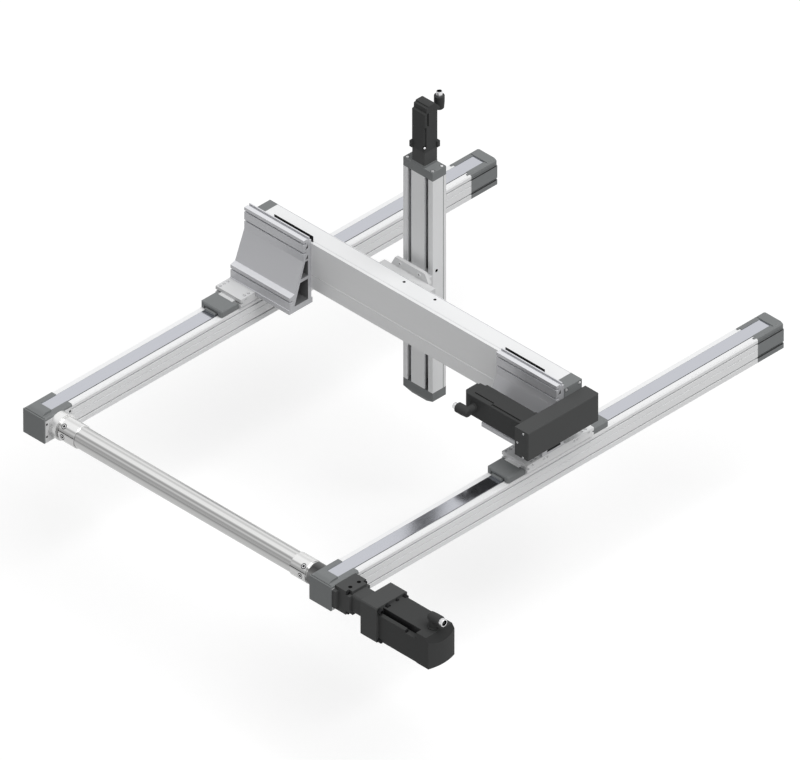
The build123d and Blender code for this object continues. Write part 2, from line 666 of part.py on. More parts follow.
def bracket_strip(outer_end, inward):
    """The thin dark bar on the beam behind one bracket's top."""
    start = Y_FRONT_X + STRIP_PLATE_BACK
    outer = outer_end + inward * STRIP_PLATE_INSET
    inner = outer_end + inward * BRACKET_LENGTH
    return block(start, outer, Y_TOP, start + STRIP_PLATE_THICK, inner, Y_TOP + STRIP_PLATE_HEIGHT)


def screw_section(width, depth, floor):
    """The section of a screw module, open at its front between two lips."""
    half = width / 2
    section = Pos(0, depth / 2) * Rectangle(width, depth)
    section -= rect(-(half - SIDE_WALL), floor, half - SIDE_WALL, depth - FRONT_LIP)
    section -= rect(-(half - SLOT_EDGE), depth - FRONT_LIP, half - SLOT_EDGE, depth)
    line = rect(half - LINE_WIDTH, LINE_INSET, half, LINE_INSET + LINE_WIDTH)
    return section - mirrored(line)


def screw_profile(plane, width, depth, floor, start, end):
    return run(plane, screw_section(width, depth, floor), start, end)


def screw_rails(plane, width, floor, rail_width, rail_height, start, end):
    """The two guide rails of a screw module, under its two slots."""
    middle = width / 2 - SLOT_EDGE - CARRIAGE_SLOT / 2
    rails = []
    for side in (-1, 1):
        near = side * middle - rail_width / 2
        section = rect(near, floor, near + rail_width, floor + rail_height)
        rails.append(run(plane, section, start, end))
    return rails


def screw_cover(plane, width, depth, start, end):
    """The cover plate between the two slots of a screw module."""
    half = width / 2 - SLOT_EDGE - CARRIAGE_SLOT
    return run(plane, rect(-half, depth - FRONT_LIP, half, depth), start, end)


def guide_blocks(plane, width, floor, rail_width, rail_height, height, centre):
    """The four guide blocks of a screw module."""
    middle = width / 2 - SLOT_EDGE - CARRIAGE_SLOT / 2
    half = SLOT_EDGE + CARRIAGE_SLOT / 2 - SIDE_WALL - BLOCK_SIDE_GAP
    room = rail_width / 2 + SLIDE_GAP
    section = rect(-half, floor + BLOCK_LIFT, half, floor + height)
    section -= rect(-room, floor, room, floor + rail_height + SLIDE_GAP)
    offset = LEG_LENGTH / 2 - BLOCK_LENGTH / 2
    blocks = []
    for side in (-1, 1):
        for along in (-offset, offset):
            start = centre + along - BLOCK_LENGTH / 2
            blocks.append(run(plane, Pos(side * middle, 0) * section, start, start + BLOCK_LENGTH))
    return blocks


def nut_block(plane, depth, floor, height, screw_r, nut_half, centre):
    """The screw's nut, seated in the notch of the carriage's yoke."""
    top = depth - FRONT_LIP - SLIDE_GAP * 2 - YOKE_BRIDGE
    middle = depth / 2
    low = middle - nut_half * NUT_FLAT
    section = rect(-nut_half, low, nut_half, top) - Pos(0, middle) * Circle(screw_r + SHAFT_GAP)
    return run(plane, section, centre - NUT_LENGTH / 2, centre + NUT_LENGTH / 2)


def screw_carriage(plane, width, depth, floor, height, nut_half, thick, length, centre):
    """A carriage plate with the legs through the slots and the yoke behind the cover plate."""
    half = width / 2
    outer = half - SLOT_EDGE - LEG_GAP
    inner = half - SLOT_EDGE - CARRIAGE_SLOT + LEG_GAP
    yoke_top = depth - FRONT_LIP - SLIDE_GAP * 2
    plate_foot = depth + PLATE_GAP
    legs = mirrored(rect(inner, yoke_top - LEG_OVERLAP, outer, plate_foot + LEG_OVERLAP))
    yoke = rect(-outer, floor + height, outer, yoke_top)
    yoke -= rect(-nut_half, floor + height, nut_half, yoke_top - YOKE_BRIDGE)
    inside = run(plane, legs + yoke, centre - LEG_LENGTH / 2, centre + LEG_LENGTH / 2)
    plate = rect(-half, plate_foot, half, plate_foot + thick)
    return inside + run(plane, plate, centre - length / 2, centre + length / 2)


def end_block(plane, width, depth, start, end, outward):
    """A full section end block with a bore on the screw's axis and screw pockets in its outer face."""
    middle = Pos(0, depth / 2)
    body = run(plane, middle * Rectangle(width, depth), start, end)
    body -= run(plane, middle * Circle(SCREW_END_R + SHAFT_GAP), start, end)
    pocket = RegularPolygon(POCKET_R, POCKET_SIDES)
    pockets = mirrored(Pos(width / 2 - POCKET_IN, POCKET_IN) * pocket)
    pockets += Pos(0, depth - 2 * POCKET_IN) * pockets
    face = end if outward > 0 else start
    return body - run(plane, pockets, face - outward * POCKET_DEPTH, face)


def z_end_cap():
    """The Z module's lower end cap, with its belly rounded off towards all four sides."""
    half = Z_WIDTH / 2
    belly_top = Z_BOTTOM + Z_BELLY
    section = Pos(0, Z_DEPTH / 2) * Rectangle(Z_WIDTH, Z_DEPTH)
    body = run(Z_PLANE, section, Z_BOTTOM, Z_PROFILE_START)
    body -= run(Z_PLANE, Pos(0, Z_DEPTH / 2) * Circle(SCREW_END_R + SHAFT_GAP), belly_top, Z_PROFILE_START)
    side_cut = Polygon((half, belly_top), (half - Z_BELLY_SIDE, Z_BOTTOM), (half, Z_BOTTOM), align=None)
    across = Plane(origin=(Z_FACE_X, Y_CARRIAGE_AT, 0), x_dir=(0, 1, 0), z_dir=(1, 0, 0))
    body -= run(across, mirrored(side_cut), 0, Z_DEPTH)
    deep = Z_DEPTH / 2
    front_cut = Polygon((deep, belly_top), (deep - Z_BELLY_FRONT, Z_BOTTOM), (deep, Z_BOTTOM), align=None)
    along = Plane(origin=(Z_SCREW_X, Y_CARRIAGE_AT - half, 0), x_dir=(-1, 0, 0), z_dir=(0, 1, 0))
    return body - run(along, mirrored(front_cut), 0, Z_WIDTH)


def screw_shaft(plane, depth, screw_r, start, thread_start, thread_end, end):
    """A ball screw: the threaded length and its two turned ends."""
    middle = Pos(0, depth / 2)
    ends = run(plane, middle * Circle(SCREW_END_R), start, end)
    return ends + run(plane, middle * Circle(screw_r), thread_start, thread_end)


def cross_plate():
    """The plate that joins the Y and Z carriages, tapered above and below."""
    half = CROSS_WIDTH / 2
    tall = CROSS_HEIGHT / 2
    narrow = half - CROSS_CUT_Y
    waist = tall - CROSS_CUT_Z
    points = [(-narrow, -tall), (narrow, -tall), (half, -waist), (half, waist)]
    points += [(narrow, tall), (-narrow, tall), (-half, waist), (-half, -waist)]
    outline = Polygon(*points, align=None)
    plane = Plane(origin=(Y_CARRIAGE_FACE, Y_CARRIAGE_AT, Y_MID), x_dir=(0, 1, 0), z_dir=(1, 0, 0))
    return extrude(plane * outline, amount=CROSS_THICK)


def square(size, edge):
    """A square section with chamfered corners."""
    section = Rectangle(size, size)
    return chamfer(section.vertices(), edge)


def motor_section(size, edge):
    """A motor's section: chamfered corners and a long groove beside each."""
    section = square(size, edge)
    groove = Rectangle(2 * MOTOR_GROOVE, MOTOR_GROOVE)
    for angle in (0, 90, 180, 270):
        for side in (-1, 1):
            section -= Rot(0, 0, angle) * Pos(size / 2, side * size * MOTOR_GROOVE_OUT) * groove
    return section


def connector(plane, side, along, sizes):
    """An angled plug socket: a stub on the motor's side, a barrel that points aft and its tip."""
    stub_r, rise, barrel_r, length, tip_r = sizes
    foot = plane.from_local_coords(Vector(side, 0, along))
    stub = Plane(origin=foot, x_dir=plane.z_dir, z_dir=plane.x_dir)
    post = extrude(stub * RegularPolygon(stub_r, SOCKET_SIDES), amount=rise)
    barrel_at = plane.from_local_coords(Vector(side + rise, 0, along - stub_r))
    barrel = Plane(origin=barrel_at, x_dir=plane.x_dir, z_dir=plane.z_dir)
    body = extrude(barrel * RegularPolygon(barrel_r, SOCKET_SIDES), amount=length)
    tip = extrude(barrel.offset(length) * RegularPolygon(tip_r, SOCKET_SIDES), amount=SOCKET_TIP)
    return post + body + tip


X_MOTOR_PLANE = Plane(origin=(DRIVE_X, -X_WIDTH / 2, AXIS_UP), x_dir=(0, 0, 1), z_dir=(0, -1, 0))
Y_MOTOR_PLANE = Plane(origin=(Y_MOTOR_X, Y_RIGHT_END, Y_MID), x_dir=(-1, 0, 0), z_dir=(0, 1, 0))
Z_MOTOR_PLANE = Plane(origin=(Z_SCREW_X, Y_CARRIAGE_AT, Z_TOP), x_dir=(1, 0, 0), z_dir=(0, 0, 1))


def gearbox_mount():
    """The block that carries the gearbox on the drive head."""
    section = Rectangle(MOUNT_SIZE, MOUNT_SIZE) - Circle(MOUNT_BORE_R)
    body = run(X_MOTOR_PLANE, section, 0, MOUNT_LENGTH)
    for angle in (0, 90, 180, 270):
        corner = Pos(MOUNT_SIZE / 2, MOUNT_SIZE / 2) * Rectangle(2 * MOUNT_CORNER, 2 * MOUNT_CORNER)
        cut = Rot(0, 0, angle) * corner
        body -= run(X_MOTOR_PLANE, cut, MOUNT_LENGTH - MOUNT_CORNER_LENGTH, MOUNT_LENGTH)
    top = AXIS_UP + MOUNT_SIZE / 2
    for side in (-MOUNT_HOLE_HALF, MOUNT_HOLE_HALF):
        hole = Pos(DRIVE_X + side, -X_WIDTH / 2 - MOUNT_HOLE_AT) * Circle(MOUNT_HOLE_R)
        body -= run(Plane.XY, hole, top - MOUNT_HOLE_DEPTH, top)
    side = DRIVE_X - MOUNT_SIZE / 2
    face = -X_WIDTH / 2
    low = AXIS_UP - MOUNT_PAD_HALF
    return body + block(side - MOUNT_PAD_OUT, face - MOUNT_PAD_LENGTH, low, side, face, low + 2 * MOUNT_PAD_HALF)


def gearbox():
    """The planetary gearbox, with its long edges rounded."""
    body = fillet(Rectangle(GEARBOX_SIZE, GEARBOX_SIZE).vertices(), GEARBOX_ROUND)
    return run(X_MOTOR_PLANE, body, MOUNT_LENGTH, MOUNT_LENGTH + GEARBOX_LENGTH)


def x_motor_flange():
    start = MOUNT_LENGTH + GEARBOX_LENGTH
    half = WIDE_FLANGE / 2
    section = chamfer(rect(-WIDE_FLANGE_LOW, -half, half, half).vertices(), WIDE_FLANGE_EDGE)
    return run(X_MOTOR_PLANE, section, start, start + WIDE_FLANGE_LENGTH)


def x_motor():
    """The X motor's body."""
    start = MOUNT_LENGTH + GEARBOX_LENGTH + WIDE_FLANGE_LENGTH
    return run(X_MOTOR_PLANE, motor_section(X_MOTOR_SIZE, MOTOR_EDGE), start, start + X_MOTOR_LENGTH)


def x_motor_cover():
    """The X motor's rear cover: an arched rear wall and a sloping top rim."""
    half = X_MOTOR_SIZE / 2
    start = -X_WIDTH / 2 - MOUNT_LENGTH - GEARBOX_LENGTH - WIDE_FLANGE_LENGTH - X_MOTOR_LENGTH
    rear = start - X_MOTOR_COVER
    points = [(DRIVE_X + half, start), (DRIVE_X - half, start)]
    for step in range(X_COVER_STEPS + 1):
        part = 2 * step / X_COVER_STEPS - 1
        points.append((DRIVE_X + part * half, rear + X_COVER_ARCH * part * part))
    low = AXIS_UP - half
    top = AXIS_UP + half
    cover = run(Plane.XY, Polygon(*points, align=None), low, top)
    slope = [(rear, top - X_COVER_SLOPE_HIGH), (rear + X_COVER_SLOPE_DEEP, top), (rear, top)]
    return cover - run(DRIVE_PLANE, Polygon(*slope, align=None), DRIVE_X - half, DRIVE_X + half)


def x_motor_connector():
    along = MOUNT_LENGTH + GEARBOX_LENGTH + WIDE_FLANGE_LENGTH + X_MOTOR_LENGTH + X_SOCKET_AFT
    return connector(X_MOTOR_PLANE, X_MOTOR_SIZE / 2, along, X_SOCKET_SIZES)


def motor_cap(plane, size, start, end):
    """A small motor's rear cap, stepped and sloping on the connector's side and its opposite."""
    half = size / 2
    foot = half - MOTOR_CAP_STEP
    slope = start + MOTOR_CAP_RISE
    points = [(0, -end), (half - MOTOR_CAP_TOP_IN, -end), (foot, -slope), (foot, -start), (0, -start)]
    side_at = plane.from_local_coords(Vector(0, -half, 0))
    side = Plane(origin=side_at, x_dir=plane.x_dir, z_dir=plane.y_dir)
    return extrude(side * mirrored(Polygon(*points, align=None)), amount=size)


def small_motor(plane, start, sizes):
    """A small servo motor: its flange, its body and its rear cap."""
    size, flange_size, length, cap = sizes
    rear = start + length
    flange = run(plane, square(flange_size, MOTOR_EDGE), start, start + MOTOR_FLANGE_THICK)
    body = run(plane, motor_section(size, MOTOR_EDGE), start, rear - cap)
    return flange + body + motor_cap(plane, size, rear - cap, rear)


def z_adapter():
    """The square housing round the coupling between the Z screw and its motor."""
    section = Rectangle(ADAPTER_SIZE, ADAPTER_SIZE) - Circle(ADAPTER_BORE_R)
    return run(Z_MOTOR_PLANE, section, 0, ADAPTER_LENGTH)


def tube():
    """The connecting tube between the two couplings."""
    start = X_WIDTH / 2 + COLLAR_LENGTH + NECK_LENGTH + HUB_LENGTH
    end = LEFT_Y - X_WIDTH / 2 - BOSS_LENGTH - NECK_LENGTH - HUB_LENGTH
    return rod(DRIVE_X, AXIS_UP, TUBE_R, start, end) - rod(DRIVE_X, AXIS_UP, TUBE_R - TUBE_WALL, start, end)


def coupling(face, inward):
    """A clamping coupling on a shaft stub: a neck by the head, a slit and notches for two clamp screws."""
    start = face + inward * NECK_LENGTH
    end = start + inward * HUB_LENGTH
    body = rod(DRIVE_X, AXIS_UP, HUB_R, start, end)
    body += rod(DRIVE_X, AXIS_UP, NECK_R, face + inward * PLATE_GAP, start)
    body -= rod(DRIVE_X, AXIS_UP, STUB_R + SEAT_GAP, face, end)
    slit = HUB_SLIT / 2
    body -= block(DRIVE_X - HUB_R, start, AXIS_UP - slit, DRIVE_X, end, AXIS_UP + slit)
    outer = DRIVE_X - HUB_NOTCH_OUT - HUB_NOTCH_HALF
    inner = DRIVE_X - HUB_NOTCH_OUT + HUB_NOTCH_HALF
    for along in (HUB_NOTCH_IN, HUB_LENGTH - HUB_NOTCH_IN):
        y0 = start + inward * along - HUB_NOTCH_HALF
        y1 = y0 + 2 * HUB_NOTCH_HALF
        body -= block(outer, y0, AXIS_UP + HUB_NOTCH_IN, inner, y1, AXIS_UP + HUB_R)
    return body


def side_housing():
    """The side drive's housing, hollow round its two pulleys."""
    high = BOX_HEIGHT / 2
    section = rect(-BOX_REAR_X, -high, -BOX_FRONT_X, high)
    plane = Plane(origin=(0, Y_RIGHT_END - BOX_THICK + BOX_COVER, Y_MID), x_dir=(-1, 0, 0), z_dir=(0, 1, 0))
    body = extrude(plane * section, amount=BOX_THICK - BOX_COVER)
    room = racetrack(high - 2 * BOX_WALL, -Y_SCREW_X, -Y_MOTOR_X)
    body -= extrude(plane * room, amount=BOX_THICK - BOX_COVER - BOX_WALL)
    bore = Circle(SCREW_END_R + BOX_SHAFT_ROOM)
    bores = Pos(-Y_SCREW_X, 0) * bore + Pos(-Y_MOTOR_X, 0) * bore
    return body - extrude(plane * bores, amount=BOX_THICK)


def side_cover():
    """The side drive's outer cover."""
    high = BOX_HEIGHT / 2
    face = Y_RIGHT_END - BOX_THICK
    cover = block(BOX_FRONT_X, face, Y_MID - high, BOX_REAR_X, face + BOX_COVER, Y_MID + high)
    return chamfer(cover.faces().sort_by(Axis.Y)[0].edges(), BOX_EDGE)


def side_belt():
    """The side drive's toothed belt as a closed band."""
    inner = SIDE_PULLEY_R + SLIDE_GAP
    ends = (-Y_SCREW_X, -Y_MOTOR_X)
    band = racetrack(inner + SIDE_BELT_THICK, *ends) - racetrack(inner, *ends)
    start = SIDE_DRIVE_MIDDLE - SIDE_BELT_WIDTH / 2
    plane = Plane(origin=(0, start, Y_MID), x_dir=(-1, 0, 0), z_dir=(0, 1, 0))
    return extrude(plane * band, amount=SIDE_BELT_WIDTH)


def side_pulley(x):
    """A toothed pulley of the side drive."""
    half = SIDE_BELT_WIDTH / 2 + PULLEY_SHOULDER
    return wheel(x, Y_MID, SIDE_PULLEY_R, SIDE_DRIVE_MIDDLE - half, SIDE_DRIVE_MIDDLE + half)


PARTS = {}


def keep(name, solids):
    """Collect a node: one solid, or a group of like solids."""
    group = solids if isinstance(solids, list) else [solids]
    PARTS[name] = Compound(children=[solid for item in group for solid in item.solids()])


def build_base():
    for name, y in zip(("drive", "left"), SIDES):
        keep(name + "_x_profile", x_profile(y))
        keep(name + "_x_head", x_head(y))
        keep(name + "_x_tail", x_tail(y))
    keep("x_rails", [x_rail(y) for y in SIDES])
    keep("x_strips", [x_strip(y) for y in SIDES])
    keep("x_head_covers", [x_head_cover(y) for y in SIDES])
    keep("x_tail_covers", [x_tail_cover(y) for y in SIDES])
    keep("x_belts", [x_belt(y) for y in SIDES])
    keep("shaft_bearings", head_bearings(SIDES[0]) + head_bearings(SIDES[1]))
    left_face = LEFT_Y - X_WIDTH / 2
    boss = rod(DRIVE_X, AXIS_UP, BOSS_R, left_face - BOSS_LENGTH, left_face)
    keep("shaft_boss", boss - rod(DRIVE_X, AXIS_UP, STUB_R + STUB_ROOM, left_face - BOSS_LENGTH, left_face))
    right_face = X_WIDTH / 2
    collar_end = right_face + COLLAR_LENGTH
    collar = rod(DRIVE_X, AXIS_UP, COLLAR_R, right_face, collar_end)
    collar -= rod(DRIVE_X, AXIS_UP, STUB_R + STUB_ROOM, right_face, collar_end)
    keep("shaft_collar", collar)
    keep("gearbox_mount", gearbox_mount())
    keep("gearbox", gearbox())
    keep("x_motor_flange", x_motor_flange())
    keep("x_motor", x_motor())
    keep("x_motor_cover", x_motor_cover())
    keep("x_motor_connector", x_motor_connector())


def build_bridge():
    right_outer = -CARRIAGE_WIDTH / 2
    left_outer = LEFT_Y + CARRIAGE_WIDTH / 2
    keep("drive_x_carriage", x_carriage(SIDES[0]))
    keep("left_x_carriage", x_carriage(SIDES[1]))
    keep("x_carriage_caps", carriage_caps(SIDES[0]) + carriage_caps(SIDES[1]))
    keep("x_guide_blocks", x_guide_blocks(SIDES[0]) + x_guide_blocks(SIDES[1]))
    keep("drive_bracket", bracket(right_outer, 1))
    keep("left_bracket", bracket(left_outer, -1))
    keep("bracket_strips", [bracket_strip(right_outer, 1), bracket_strip(left_outer, -1)])
    span = (Y_PROFILE_START, Y_PROFILE_END)
    keep("y_profile", screw_profile(Y_PLANE, Y_WIDTH, Y_DEPTH, Y_FLOOR, *span))
    keep("y_rails", screw_rails(Y_PLANE, Y_WIDTH, Y_FLOOR, Y_RAIL_WIDTH, Y_RAIL_HEIGHT, *span))
    keep("y_cover_plate", screw_cover(Y_PLANE, Y_WIDTH, Y_DEPTH, *span))
    keep("y_right_end", end_block(Y_PLANE, Y_WIDTH, Y_DEPTH, Y_RIGHT_END, Y_PROFILE_START, -1))
    keep("y_left_end", end_block(Y_PLANE, Y_WIDTH, Y_DEPTH, Y_PROFILE_END, Y_LEFT_END, 1))
    keep("side_drive_housing", side_housing())
    keep("side_drive_cover", side_cover())
    keep("y_drive_belt", side_belt())
    keep("y_motor", small_motor(Y_MOTOR_PLANE, 0, Y_MOTOR_SIZES))
    socket_at = Y_MOTOR_LENGTH - Y_MOTOR_CAP - SOCKET_IN
    keep("y_motor_connector", connector(Y_MOTOR_PLANE, Y_MOTOR_SIZE / 2, socket_at, SMALL_SOCKET_SIZES))


def build_drives():
    half = X_WIDTH / 2
    collar_end = half + COLLAR_LENGTH
    boss_end = LEFT_Y - half - BOSS_LENGTH
    stub_reach = NECK_LENGTH + HUB_LENGTH / 2
    keep("shaft_tube", tube())
    keep("shaft_couplings", [coupling(collar_end, 1), coupling(boss_end, -1)])
    drive = drive_pulley(0, -half - MOUNT_LENGTH / 2, collar_end + stub_reach)
    left = drive_pulley(LEFT_Y, boss_end - stub_reach, LEFT_Y + BELT_HALF_ROOM + BEARING_WIDTH)
    keep("drive_pulleys", [drive, left])
    keep("drive_idler", idler(SIDES[0]))
    keep("left_idler", idler(SIDES[1]))
    screw_start = SIDE_DRIVE_MIDDLE - SIDE_BELT_WIDTH / 2
    screw_end = Y_LEFT_END - Y_SCREW_TAIL
    thread = (Y_PROFILE_START + THREAD_END_GAP, Y_PROFILE_END - THREAD_END_GAP)
    keep("y_screw", screw_shaft(Y_PLANE, Y_DEPTH, Y_SCREW_R, screw_start, *thread, screw_end))
    bore = rod(Y_SCREW_X, Y_MID, SCREW_END_R + SEAT_GAP, Y_RIGHT_END, Y_RIGHT_END - BOX_THICK)
    keep("y_screw_pulley", side_pulley(Y_SCREW_X) - bore)
    shaft = rod(Y_MOTOR_X, Y_MID, SCREW_END_R, SIDE_DRIVE_MIDDLE, Y_RIGHT_END - PULLEY_SHOULDER)
    keep("y_motor_pulley", side_pulley(Y_MOTOR_X) + shaft)
    coupling_end = Z_TOP + ADAPTER_LENGTH - SLEEVE_END
    thread = (Z_PROFILE_START + THREAD_END_GAP, Z_PROFILE_END - THREAD_END_GAP)
    screw_start = Z_BOTTOM + Z_BELLY + THREAD_END_GAP
    turned = screw_shaft(Z_PLANE, Z_DEPTH, Z_SCREW_R, screw_start, *thread, coupling_end)
    sleeve = Pos(0, Z_DEPTH / 2) * Circle(ADAPTER_BORE_R - SLEEVE_GAP)
    keep("z_screw", turned + run(Z_PLANE, sleeve, Z_TOP + SLEEVE_END, coupling_end))


def build_carriages():
    y_sizes = (Y_PLANE, Y_WIDTH, Y_DEPTH, Y_FLOOR, Y_BLOCK_HEIGHT, Y_NUT_HALF, Y_CARRIAGE_THICK)
    keep("y_carriage", screw_carriage(*y_sizes, Y_CARRIAGE_LENGTH, Y_CARRIAGE_AT))
    keep("y_nut", nut_block(Y_PLANE, Y_DEPTH, Y_FLOOR, Y_BLOCK_HEIGHT, Y_SCREW_R, Y_NUT_HALF, Y_CARRIAGE_AT))
    rail = (Y_RAIL_WIDTH, Y_RAIL_HEIGHT, Y_BLOCK_HEIGHT)
    keep("y_guide_blocks", guide_blocks(Y_PLANE, Y_WIDTH, Y_FLOOR, *rail, Y_CARRIAGE_AT))
    keep("cross_plate", cross_plate())
    z_sizes = (Z_PLANE, Z_WIDTH, Z_DEPTH, Z_FLOOR, Z_BLOCK_HEIGHT, Z_NUT_HALF, Z_CARRIAGE_THICK)
    keep("z_carriage", screw_carriage(*z_sizes, Z_CARRIAGE_LENGTH, Y_MID))
    keep("z_nut", nut_block(Z_PLANE, Z_DEPTH, Z_FLOOR, Z_BLOCK_HEIGHT, Z_SCREW_R, Z_NUT_HALF, Y_MID))
    rail = (Z_RAIL_WIDTH, Z_RAIL_HEIGHT, Z_BLOCK_HEIGHT)
    keep("z_guide_blocks", guide_blocks(Z_PLANE, Z_WIDTH, Z_FLOOR, *rail, Y_MID))


def build_z_frame():
    span = (Z_PROFILE_START, Z_PROFILE_END)
    keep("z_profile", screw_profile(Z_PLANE, Z_WIDTH, Z_DEPTH, Z_FLOOR, *span))
    keep("z_rails", screw_rails(Z_PLANE, Z_WIDTH, Z_FLOOR, Z_RAIL_WIDTH, Z_RAIL_HEIGHT, *span))
    keep("z_cover_plate", screw_cover(Z_PLANE, Z_WIDTH, Z_DEPTH, *span))
    keep("z_top_block", end_block(Z_PLANE, Z_WIDTH, Z_DEPTH, Z_PROFILE_END, Z_TOP, 1))
    keep("z_end_cap", z_end_cap())
    motor = small_motor(Z_MOTOR_PLANE, ADAPTER_LENGTH, Z_MOTOR_SIZES)
    keep("z_motor", z_adapter() + motor)
    socket_at = ADAPTER_LENGTH + Z_MOTOR_LENGTH - Z_MOTOR_CAP - SOCKET_IN
    keep("z_motor_connector", connector(Z_MOTOR_PLANE, Z_MOTOR_SIZE / 2, socket_at, SMALL_SOCKET_SIZES))


def main():
    os.makedirs("parts", exist_ok=True)
    build_base()
    build_bridge()
    build_drives()
    build_carriages()
    build_z_frame()
    for name, part in PARTS.items():
        export_step(part, "parts/" + name + ".step")


main()
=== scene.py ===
import math

import bmesh
import bpy
from bpy.props import FloatProperty, FloatVectorProperty, IntProperty, PointerProperty
from mathutils import Matrix, Vector


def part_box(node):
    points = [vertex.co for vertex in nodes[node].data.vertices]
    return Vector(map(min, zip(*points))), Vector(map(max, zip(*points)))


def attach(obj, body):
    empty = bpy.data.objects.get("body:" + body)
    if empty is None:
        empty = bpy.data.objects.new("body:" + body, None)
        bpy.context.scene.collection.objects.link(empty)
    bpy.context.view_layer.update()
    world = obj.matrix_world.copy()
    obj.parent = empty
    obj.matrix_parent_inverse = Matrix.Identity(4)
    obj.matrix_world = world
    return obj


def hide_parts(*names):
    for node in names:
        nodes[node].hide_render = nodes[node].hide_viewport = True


bl_info = {
    "name": "Three axis linear gantry",
    "version": (1, 0, 0),
    "blender": (4, 5, 0),
    "location": "View3D > Sidebar > Gantry",
    "description": "Dresses the packed gantry with its finishes, screws, sockets and studio",
    "category": "Object",
}

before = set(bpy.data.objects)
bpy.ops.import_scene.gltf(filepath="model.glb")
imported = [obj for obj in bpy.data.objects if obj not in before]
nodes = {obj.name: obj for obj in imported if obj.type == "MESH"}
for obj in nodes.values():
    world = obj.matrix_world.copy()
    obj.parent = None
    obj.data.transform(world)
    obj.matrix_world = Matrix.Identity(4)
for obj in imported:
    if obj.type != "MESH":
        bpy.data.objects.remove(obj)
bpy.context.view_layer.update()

X_AXIS = Vector((1, 0, 0))
Y_AXIS = Vector((0, 1, 0))
Z_AXIS = Vector((0, 0, 1))
MM = 0.001

# The axis of the cross shaft
SHAFT_X = -0.7935
SHAFT_UP = 0.0394


class GantrySizes(bpy.types.PropertyGroup):
    """Sizes of the small parts that the gantry is dressed with."""

    block_screw: FloatProperty(
        name="End block screw", description="Radius that sizes the bright screws in the end blocks",
        default=0.0054, min=0.002, max=0.0054, unit="LENGTH")
    cover_screw: FloatProperty(
        name="Cover screw", description="Head radius of the dark screws in the belt module heads",
        default=0.0034, min=0.001, max=0.005, unit="LENGTH")
    mount_bolt: FloatProperty(
        name="Mount bolt", description="Head radius of the black bolts in the gearbox mount",
        default=0.0052, min=0.002, max=0.0058, unit="LENGTH")
    tapped_hole: FloatProperty(
        name="Tapped hole", description="Radius that sizes the tapped holes and the oil holes",
        default=0.0026, min=0.001, max=0.004, unit="LENGTH")
    # The edge round sets both the rounded normals along the edges and the width of their painted highlight
    edge_round: FloatProperty(
        name="Edge round", description="Width of the rounded and worn look along the edges",
        default=0.0006, min=0.0, max=0.002, unit="LENGTH")
    round_steps: IntProperty(
        name="Round steps", description="Sides of the round heads and rings",
        default=24, min=12, max=64)


class GantryColours(bpy.types.PropertyGroup):
    """Colours of the finishes."""

    aluminium: FloatVectorProperty(
        name="Aluminium", description="Clear anodised profiles, plates and brackets",
        default=(0.80, 0.805, 0.81), subtype="COLOR", min=0.0, max=1.0)
    strip: FloatVectorProperty(
        name="Strip", description="Polished steel cover strip",
        default=(0.70, 0.715, 0.77), subtype="COLOR", min=0.0, max=1.0)
    tube: FloatVectorProperty(
        name="Tube", description="Tint of the bright connecting tube and its couplings",
        default=(1.0, 1.0, 0.99), subtype="COLOR", min=0.0, max=1.0)
    steel: FloatVectorProperty(
        name="Steel", description="Ground rails, screws, blocks and bearings",
        default=(0.55, 0.56, 0.58), subtype="COLOR", min=0.0, max=1.0)
    cover: FloatVectorProperty(
        name="Cover", description="Dark grey moulded covers of the belt modules",
        default=(0.213, 0.222, 0.224), subtype="COLOR", min=0.0, max=1.0)
    motor: FloatVectorProperty(
        name="Motor", description="Black coated motors, gearbox and side drive",
        default=(0.060, 0.061, 0.061), subtype="COLOR", min=0.0, max=1.0)
    rubber: FloatVectorProperty(
        name="Rubber", description="Toothed belts",
        default=(0.02, 0.02, 0.021), subtype="COLOR", min=0.0, max=1.0)


class GantryStage(bpy.types.PropertyGroup):
    """Camera, lamps and floor."""

    lens: FloatProperty(
        name="Lens", description="Focal length of the long lens",
        default=1500.0, min=100.0, max=2000.0, unit="CAMERA")
    distance: FloatProperty(
        name="Distance", description="Distance of the camera from the point that it looks at",
        default=87.8, min=5.0, max=120.0, unit="LENGTH")
    sun: FloatProperty(
        name="Lamp", description="Strength of the soft lamp overhead",
        default=2.1, min=0.0, max=10.0)
    ambient: FloatProperty(
        name="Ambient", description="Strength of the light from all round",
        default=0.45, min=0.0, max=2.0)
    floor_drop: FloatProperty(
        name="Floor drop", description="How far the floor lies under the frame's zero height",
        default=0.42, min=0.0, max=1.0, unit="LENGTH")


def sizes():
    return bpy.context.scene.gantry_sizes


def colours():
    return bpy.context.scene.gantry_colours


# Finishes

# How far the grain of a finish is drawn out along X, Y and Z
ALONG_X = (0.4, 8.0, 8.0)
ALONG_Y = (8.0, 0.4, 8.0)
ALONG_Z = (8.0, 8.0, 0.4)
ALL_WAYS = (8.0, 8.0, 8.0)
COATED = (16.0, 16.0, 16.0)
MOULDED = (20.0, 20.0, 20.0)
RUBBERY = (30.0, 30.0, 30.0)

# Most values of a noise lie between these two
NOISE_RANGE = (0.3, 0.7)

# The painted shade of a hollow's walls beside the colour of open faces
PAINTED_HOLLOW_SHADE = 0.4


def new_finish(name):
    """An empty node material with its shader."""
    material = bpy.data.materials.new(name)
    material.use_nodes = True
    tree = material.node_tree
    tree.nodes.clear()
    out = tree.nodes.new("ShaderNodeOutputMaterial")
    shader = tree.nodes.new("ShaderNodeBsdfPrincipled")
    tree.links.new(shader.outputs["BSDF"], out.inputs["Surface"])
    return material, tree, shader


def feed(tree, socket, value):
    """Gives a socket a link from another node, or a plain value."""
    if isinstance(value, bpy.types.NodeSocket):
        tree.links.new(value, socket)
    else:
        socket.default_value = value


